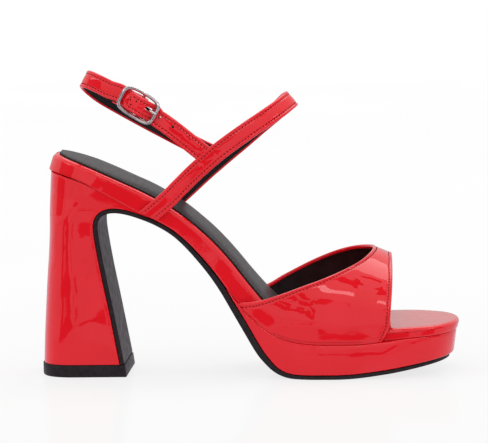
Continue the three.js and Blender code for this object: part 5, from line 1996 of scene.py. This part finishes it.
@dataclass
class Buckle:
    """The bowed wire frame, its bar and its prong.

    Attributes:
        looks: The materials.
        axes: The buckle's axes.
        length: Outside, along the strap.
        width: Outside, across the strap.
        wire: Radius of the wire.
        bow: How far the end bars stand above the middle bar.
        ring_steps: Points of the wire's own outline.
        wire_steps: Even stations round the wire.
        prong_shift: The prong's place across the strap.
    """

    looks: Wardrobe
    axes: BuckleAxes
    length: float = 22.4
    width: float = 15.4
    wire: float = 0.9
    bow: float = 1.9
    ring_steps: int = 200
    wire_steps: int = 160
    prong_shift: float = -0.9

    def frame(self) -> Object:
        """The closed wire and its middle bar."""
        a, b = self.length / 2 - self.wire, self.width / 2 - self.wire
        angle = np.linspace(0, 2 * math.pi, self.ring_steps, endpoint=False)
        c, s = np.cos(angle), np.sin(angle)
        along = np.sign(c) * np.abs(c) ** 0.62 * a
        across = np.sign(s) * np.abs(s) ** 0.44 * b
        height = 0.4 + self.bow * (along / a) ** 2
        ring = self.axes.at(along, height, across)
        line = resampled(np.concatenate([ring, ring[:1]]), self.wire_steps + 1)[:-1]
        wire = np.full(self.wire_steps, self.wire * 1.17)
        rim = tube("buckle_wire", line, wire, self.axes.n, [self.looks.wire], True, 0.8)
        w = np.linspace(-1, 1, 13) * b
        bar_line = self.axes.at(0.0, 0.3 * (w / b) ** 6, w)
        bar = tube("buckle_bar", bar_line, np.full(13, self.wire * 0.96), self.axes.s, [self.looks.wire])
        combine(rim, [bar], "UNION")
        rim.data.polygons.foreach_set("use_smooth", [True] * len(rim.data.polygons))
        rim.data.set_sharp_from_angle(angle=math.radians(75))
        return fit(rim, "buckle_frame")

    def tongue(self) -> Object:
        """The prong, curled round the bar."""
        turn = np.linspace(math.radians(20), math.radians(335), 28)
        inside = self.wire + GAP + 0.35
        curl = self.axes.at(inside * np.cos(turn), inside * np.sin(turn), self.prong_shift)
        rod = Table(
            "s n r",
            (
                (2.3, 0.45, 0.6), (3.4, 0.9, 0.7), (5, 1.5, 0.75), (6.4, 2.5, 0.75), (8.2, 3.7, 0.75),
                (9.6, 4.2, 0.72),
                (self.length / 2 + 0.1, 4.3, 0.5),
            ),
        )
        path = rod.path("s n r")(np.linspace(0, rod.last, 40))
        start = np.array([[inside * math.cos(turn[0]), inside * math.sin(turn[0]), 0.42]])
        full = np.concatenate([start, path])
        radii = np.concatenate([np.full(len(turn), 0.35), full[1:, 2], [0.3, 0.08]])
        line = np.concatenate([curl[::-1], self.axes.at(full[1:, 0], full[1:, 1], self.prong_shift)])
        end = self.axes.at([self.length / 2 + 0.35, self.length / 2 + 0.45], [4.3, 4.3], self.prong_shift)
        line = np.concatenate([line, end])
        return fit(tube("prong_wire", line, radii, self.axes.w, [self.looks.wire]), "buckle_prong")


# Studio


@dataclass(frozen=True)
class MirrorCard:
    """A glowing or black card that only glossy surfaces see, as hung round a product on a photo table.

    Attributes:
        name: Its name.
        place: Its middle, in metres.
        size: Its width and height, in metres.
        aim: The point that it faces, in metres.
        glow: The least and the most that it glows.
        patches: How many patches of the two lie in a metre, along each of its axes.
        turn: Turn about its own axis, in degrees.
        level: Where the pattern changes from one to the other.
    """

    name: str
    place: tuple
    size: tuple
    aim: tuple
    glow: tuple
    patches: tuple = (4.0, 4.0, 1.0)
    turn: float = 0.0
    level: float = 0.47

    def build(self) -> Object:
        """Hangs the card."""
        bench = NodeBench(self.name)
        bench.set(Base_Color=(0, 0, 0, 1), Specular_IOR_Level=0.0, Roughness=1.0)
        bench.set(Emission_Color=(1.0, 0.9, 1.0, 1))
        pattern = bench.noise(1.0, 1.5, self.patches)
        change = {"From_Min": self.level - 0.01, "From_Max": self.level + 0.01}
        change |= {"To_Min": self.glow[0], "To_Max": self.glow[1]}
        ramp = bench.node("ShaderNodeMapRange", Value=pattern, **change)
        ramp.interpolation_type = "SMOOTHSTEP"
        bench.link(ramp.outputs["Result"], "Emission Strength")
        card = sheet(self.name, *self.size, bench.material)
        away = Vector(self.aim) - Vector(self.place)
        spin = Matrix.Rotation(math.radians(self.turn), 4, "Z")
        turn = away.to_track_quat("Z", "Y").to_matrix().to_4x4() @ spin
        turn.translation = Vector(self.place)
        card.matrix_world = turn
        card.visible_camera = False
        card.visible_diffuse = False
        card.visible_shadow = False
        card.visible_transmission = False
        return card


@dataclass
class Studio:
    """Floor, lights and camera.

    Attributes:
        target: The point in the middle of the picture, in millimetres.
        distance: From there to the camera.
        azimuth: Turn of the view round the shoe, in degrees.
        elevation: Height of the view, in degrees.
        roll: Turn of the camera about its own axis, in degrees.
        scale: Millimetres in a pixel at the target.
        picture: Width of the picture in pixels.
        white: How bright the floor and the surround look.
        floor_size: Width of the floor, in metres.
    """

    target: tuple = (-2.5, 0.0, 79.1)
    distance: float = 2000.0
    azimuth: float = 3.8
    elevation: float = 6.5
    roll: float = 1.05
    scale: float = 0.53
    picture: int = 488
    white: float = 0.955
    floor_size: float = 28.0

    def camera(self) -> Object:
        """The camera at the photograph's angle."""
        az, el, roll = (math.radians(v) for v in (self.azimuth, self.elevation, self.roll))
        back = Vector((math.sin(az) * math.cos(el), -math.cos(az) * math.cos(el), math.sin(el)))
        level = Vector((math.cos(az), math.sin(az), 0))
        rise = back.cross(level)
        right = level * math.cos(roll) - rise * math.sin(roll)
        up = rise * math.cos(roll) + level * math.sin(roll)
        data = bpy.data.cameras.new("view")
        data.sensor_width = 36.0
        data.lens = 36.0 * (self.distance / self.scale) / self.picture
        data.clip_start, data.clip_end = 0.05, 60
        camera = placed("view", data)
        turn = Matrix((right, up, back)).transposed().to_4x4()
        turn.translation = (Vector(self.target) + back * self.distance) * MM
        camera.matrix_world = turn
        bpy.context.scene.camera = camera
        return camera

    def floor(self) -> Object:
        """The pale floor, lit from within like a light table so that shadows stay faint."""
        bench = NodeBench("pale_floor")
        bench.set(IOR=1.02, Emission_Color=(1, 1, 1, 1), Emission_Strength=self.white - 0.175)
        bench.link(bench.blend(bench.noise(3, 1), (0.125,) * 3, (0.135,) * 3), "Base Color")
        bench.link(bench.span(bench.noise(5, 1), 0.1, 0.16), "Roughness")
        floor = sheet("floor", self.floor_size, self.floor_size, bench.material)
        floor.visible_glossy = False
        return floor

    def _lamp(self, name: str, place: tuple, size: tuple, glow: float, aim: tuple = (0, 0, 0.08)) -> None:
        """A soft box that looks at the shoe.

        Args:
            name: The lamp's name.
            place: Where it stands, in metres.
            size: Its width and height, in metres.
            glow: How bright its face looks, where the floor's white is about 1.
            aim: The point that it looks at, in metres.
        """
        data = bpy.data.lights.new(name, "AREA")
        data.shape = "RECTANGLE"
        data.size, data.size_y = size
        data.energy = glow * math.pi * size[0] * size[1]
        lamp = placed(name, data)
        away = Vector(place) - Vector(aim)
        lamp.rotation_mode = "QUATERNION"
        lamp.rotation_quaternion = (-away).to_track_quat("-Z", "Y")
        lamp.location = place

    def lights(self) -> None:
        """Soft boxes above, before and beside the shoe, and a pale surround."""
        self._lamp("back_box", (0.1, 0.55, 1.25), (1.5, 0.8), 1.7)
        self._lamp("front_box", (0.12, -1.05, 1.15), (0.5, 0.16), 3.2)
        self._lamp("left_box", (-1.5, -0.35, 0.5), (0.45, 0.9), 2.4)
        self._lamp("right_box", (1.5, -0.55, 0.6), (0.35, 0.9), 2.6)
        world = bpy.data.worlds.new("surround")
        world.use_nodes = True
        tree = world.node_tree
        toward = add_node(tree, "ShaderNodeTexCoord").outputs["Generated"]
        height = add_node(tree, "ShaderNodeSeparateXYZ", Vector=toward).outputs["Z"]
        rise = add_node(tree, "ShaderNodeMapRange", Value=height, From_Max=0.8, To_Min=0.55, To_Max=0.95)
        glossy = add_node(tree, "ShaderNodeLightPath").outputs["Is Glossy Ray"]
        choose = add_node(tree, "ShaderNodeMix", Factor=glossy, A=self.white, B=rise.outputs["Result"])
        background = tree.nodes["Background"]
        tree.links.new(choose.outputs["Result"], background.inputs["Strength"])
        background.inputs["Color"].default_value = (1, 1, 1, 1)
        bpy.context.scene.world = world
        bpy.context.scene.view_settings.view_transform = "Standard"

    def cards(self) -> None:
        """What the lacquer mirrors below eye level and overhead."""
        up = 1.0
        film, dark = (0.58, 0.72), (0.02, 0.03)
        for card in (
            MirrorCard("floor_card", (0, 0, -0.006), (4.0, 4.0), (0, 0, up), film, (3, 2, 1)),
            MirrorCard(
                "heel_card", (-0.34, -0.38, -0.004), (0.19, 0.42), (-0.34, -0.38, up), (0.02, 0.5),
                patches=(9, 7, 1), turn=-35, level=0.6,
            ),
            MirrorCard(
                "patch_card", (-0.115, -0.47, -0.005), (0.11, 0.4), (-0.115, -0.47, up), (0.02, 0.66),
                patches=(34, 7, 1),
            ),
            MirrorCard(
                "sole_card", (0.12, -0.16, -0.005), (0.26, 0.12), (0.12, -0.16, up), (0.02, 0.6),
                patches=(9, 4, 1), turn=20,
            ),
            MirrorCard("left_card", (-1.3, -0.3, 0.3), (0.9, 0.7), (0, 0, 0.1), dark),
            MirrorCard("right_card", (1.3, -0.3, 0.3), (0.9, 0.7), (0, 0, 0.1), dark),
            MirrorCard("high_card", (0.05, -0.26, 0.95), (1.0, 0.5), (0.05, 0, 0.05), (0.02, 1.1), (6, 4, 1)),
            MirrorCard(
                "front_card", (0.0, -1.5, 0.5), (3.0, 1.0), (0, 0, 0.5), (0.03, 0.8),
                patches=(1.2, 0.9, 1), level=0.42,
            ),
            MirrorCard(
                "strap_card", (-0.085, -0.36, 0.145), (0.17, 0.19), (-0.085, 0, 0.145), (0.02, 0.8),
                patches=(13, 20, 1), turn=20, level=0.52,
            ),
        ):
            card.build()


def main() -> None:
    """Builds the sandal piece by piece, then the studio round it."""
    logging.basicConfig(level=logging.INFO, format="%(name)s %(message)s")
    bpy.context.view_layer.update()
    looks = Wardrobe()
    last = Last()
    tree = StitchTree()
    sole = SoleUnit(last, looks)
    sole.outsole()
    sole.platform()
    sole.insole()
    sole.sock()
    sole.sock_stitches(tree)
    sole.heel()
    sole.top_lift()
    vamp = Vamp(last, looks)
    vamp.build()
    vamp.stitches(tree)
    axes = BuckleAxes()
    straps = AnkleStraps(looks, axes)
    straps.band()
    straps.sling()
    straps.tail()
    straps.stitches(tree)
    buckle = Buckle(looks, axes)
    buckle.frame()
    buckle.tongue()
    studio = Studio()
    studio.camera()
    studio.floor()
    studio.lights()
    studio.cards()


if __name__ == "__main__":
    main()
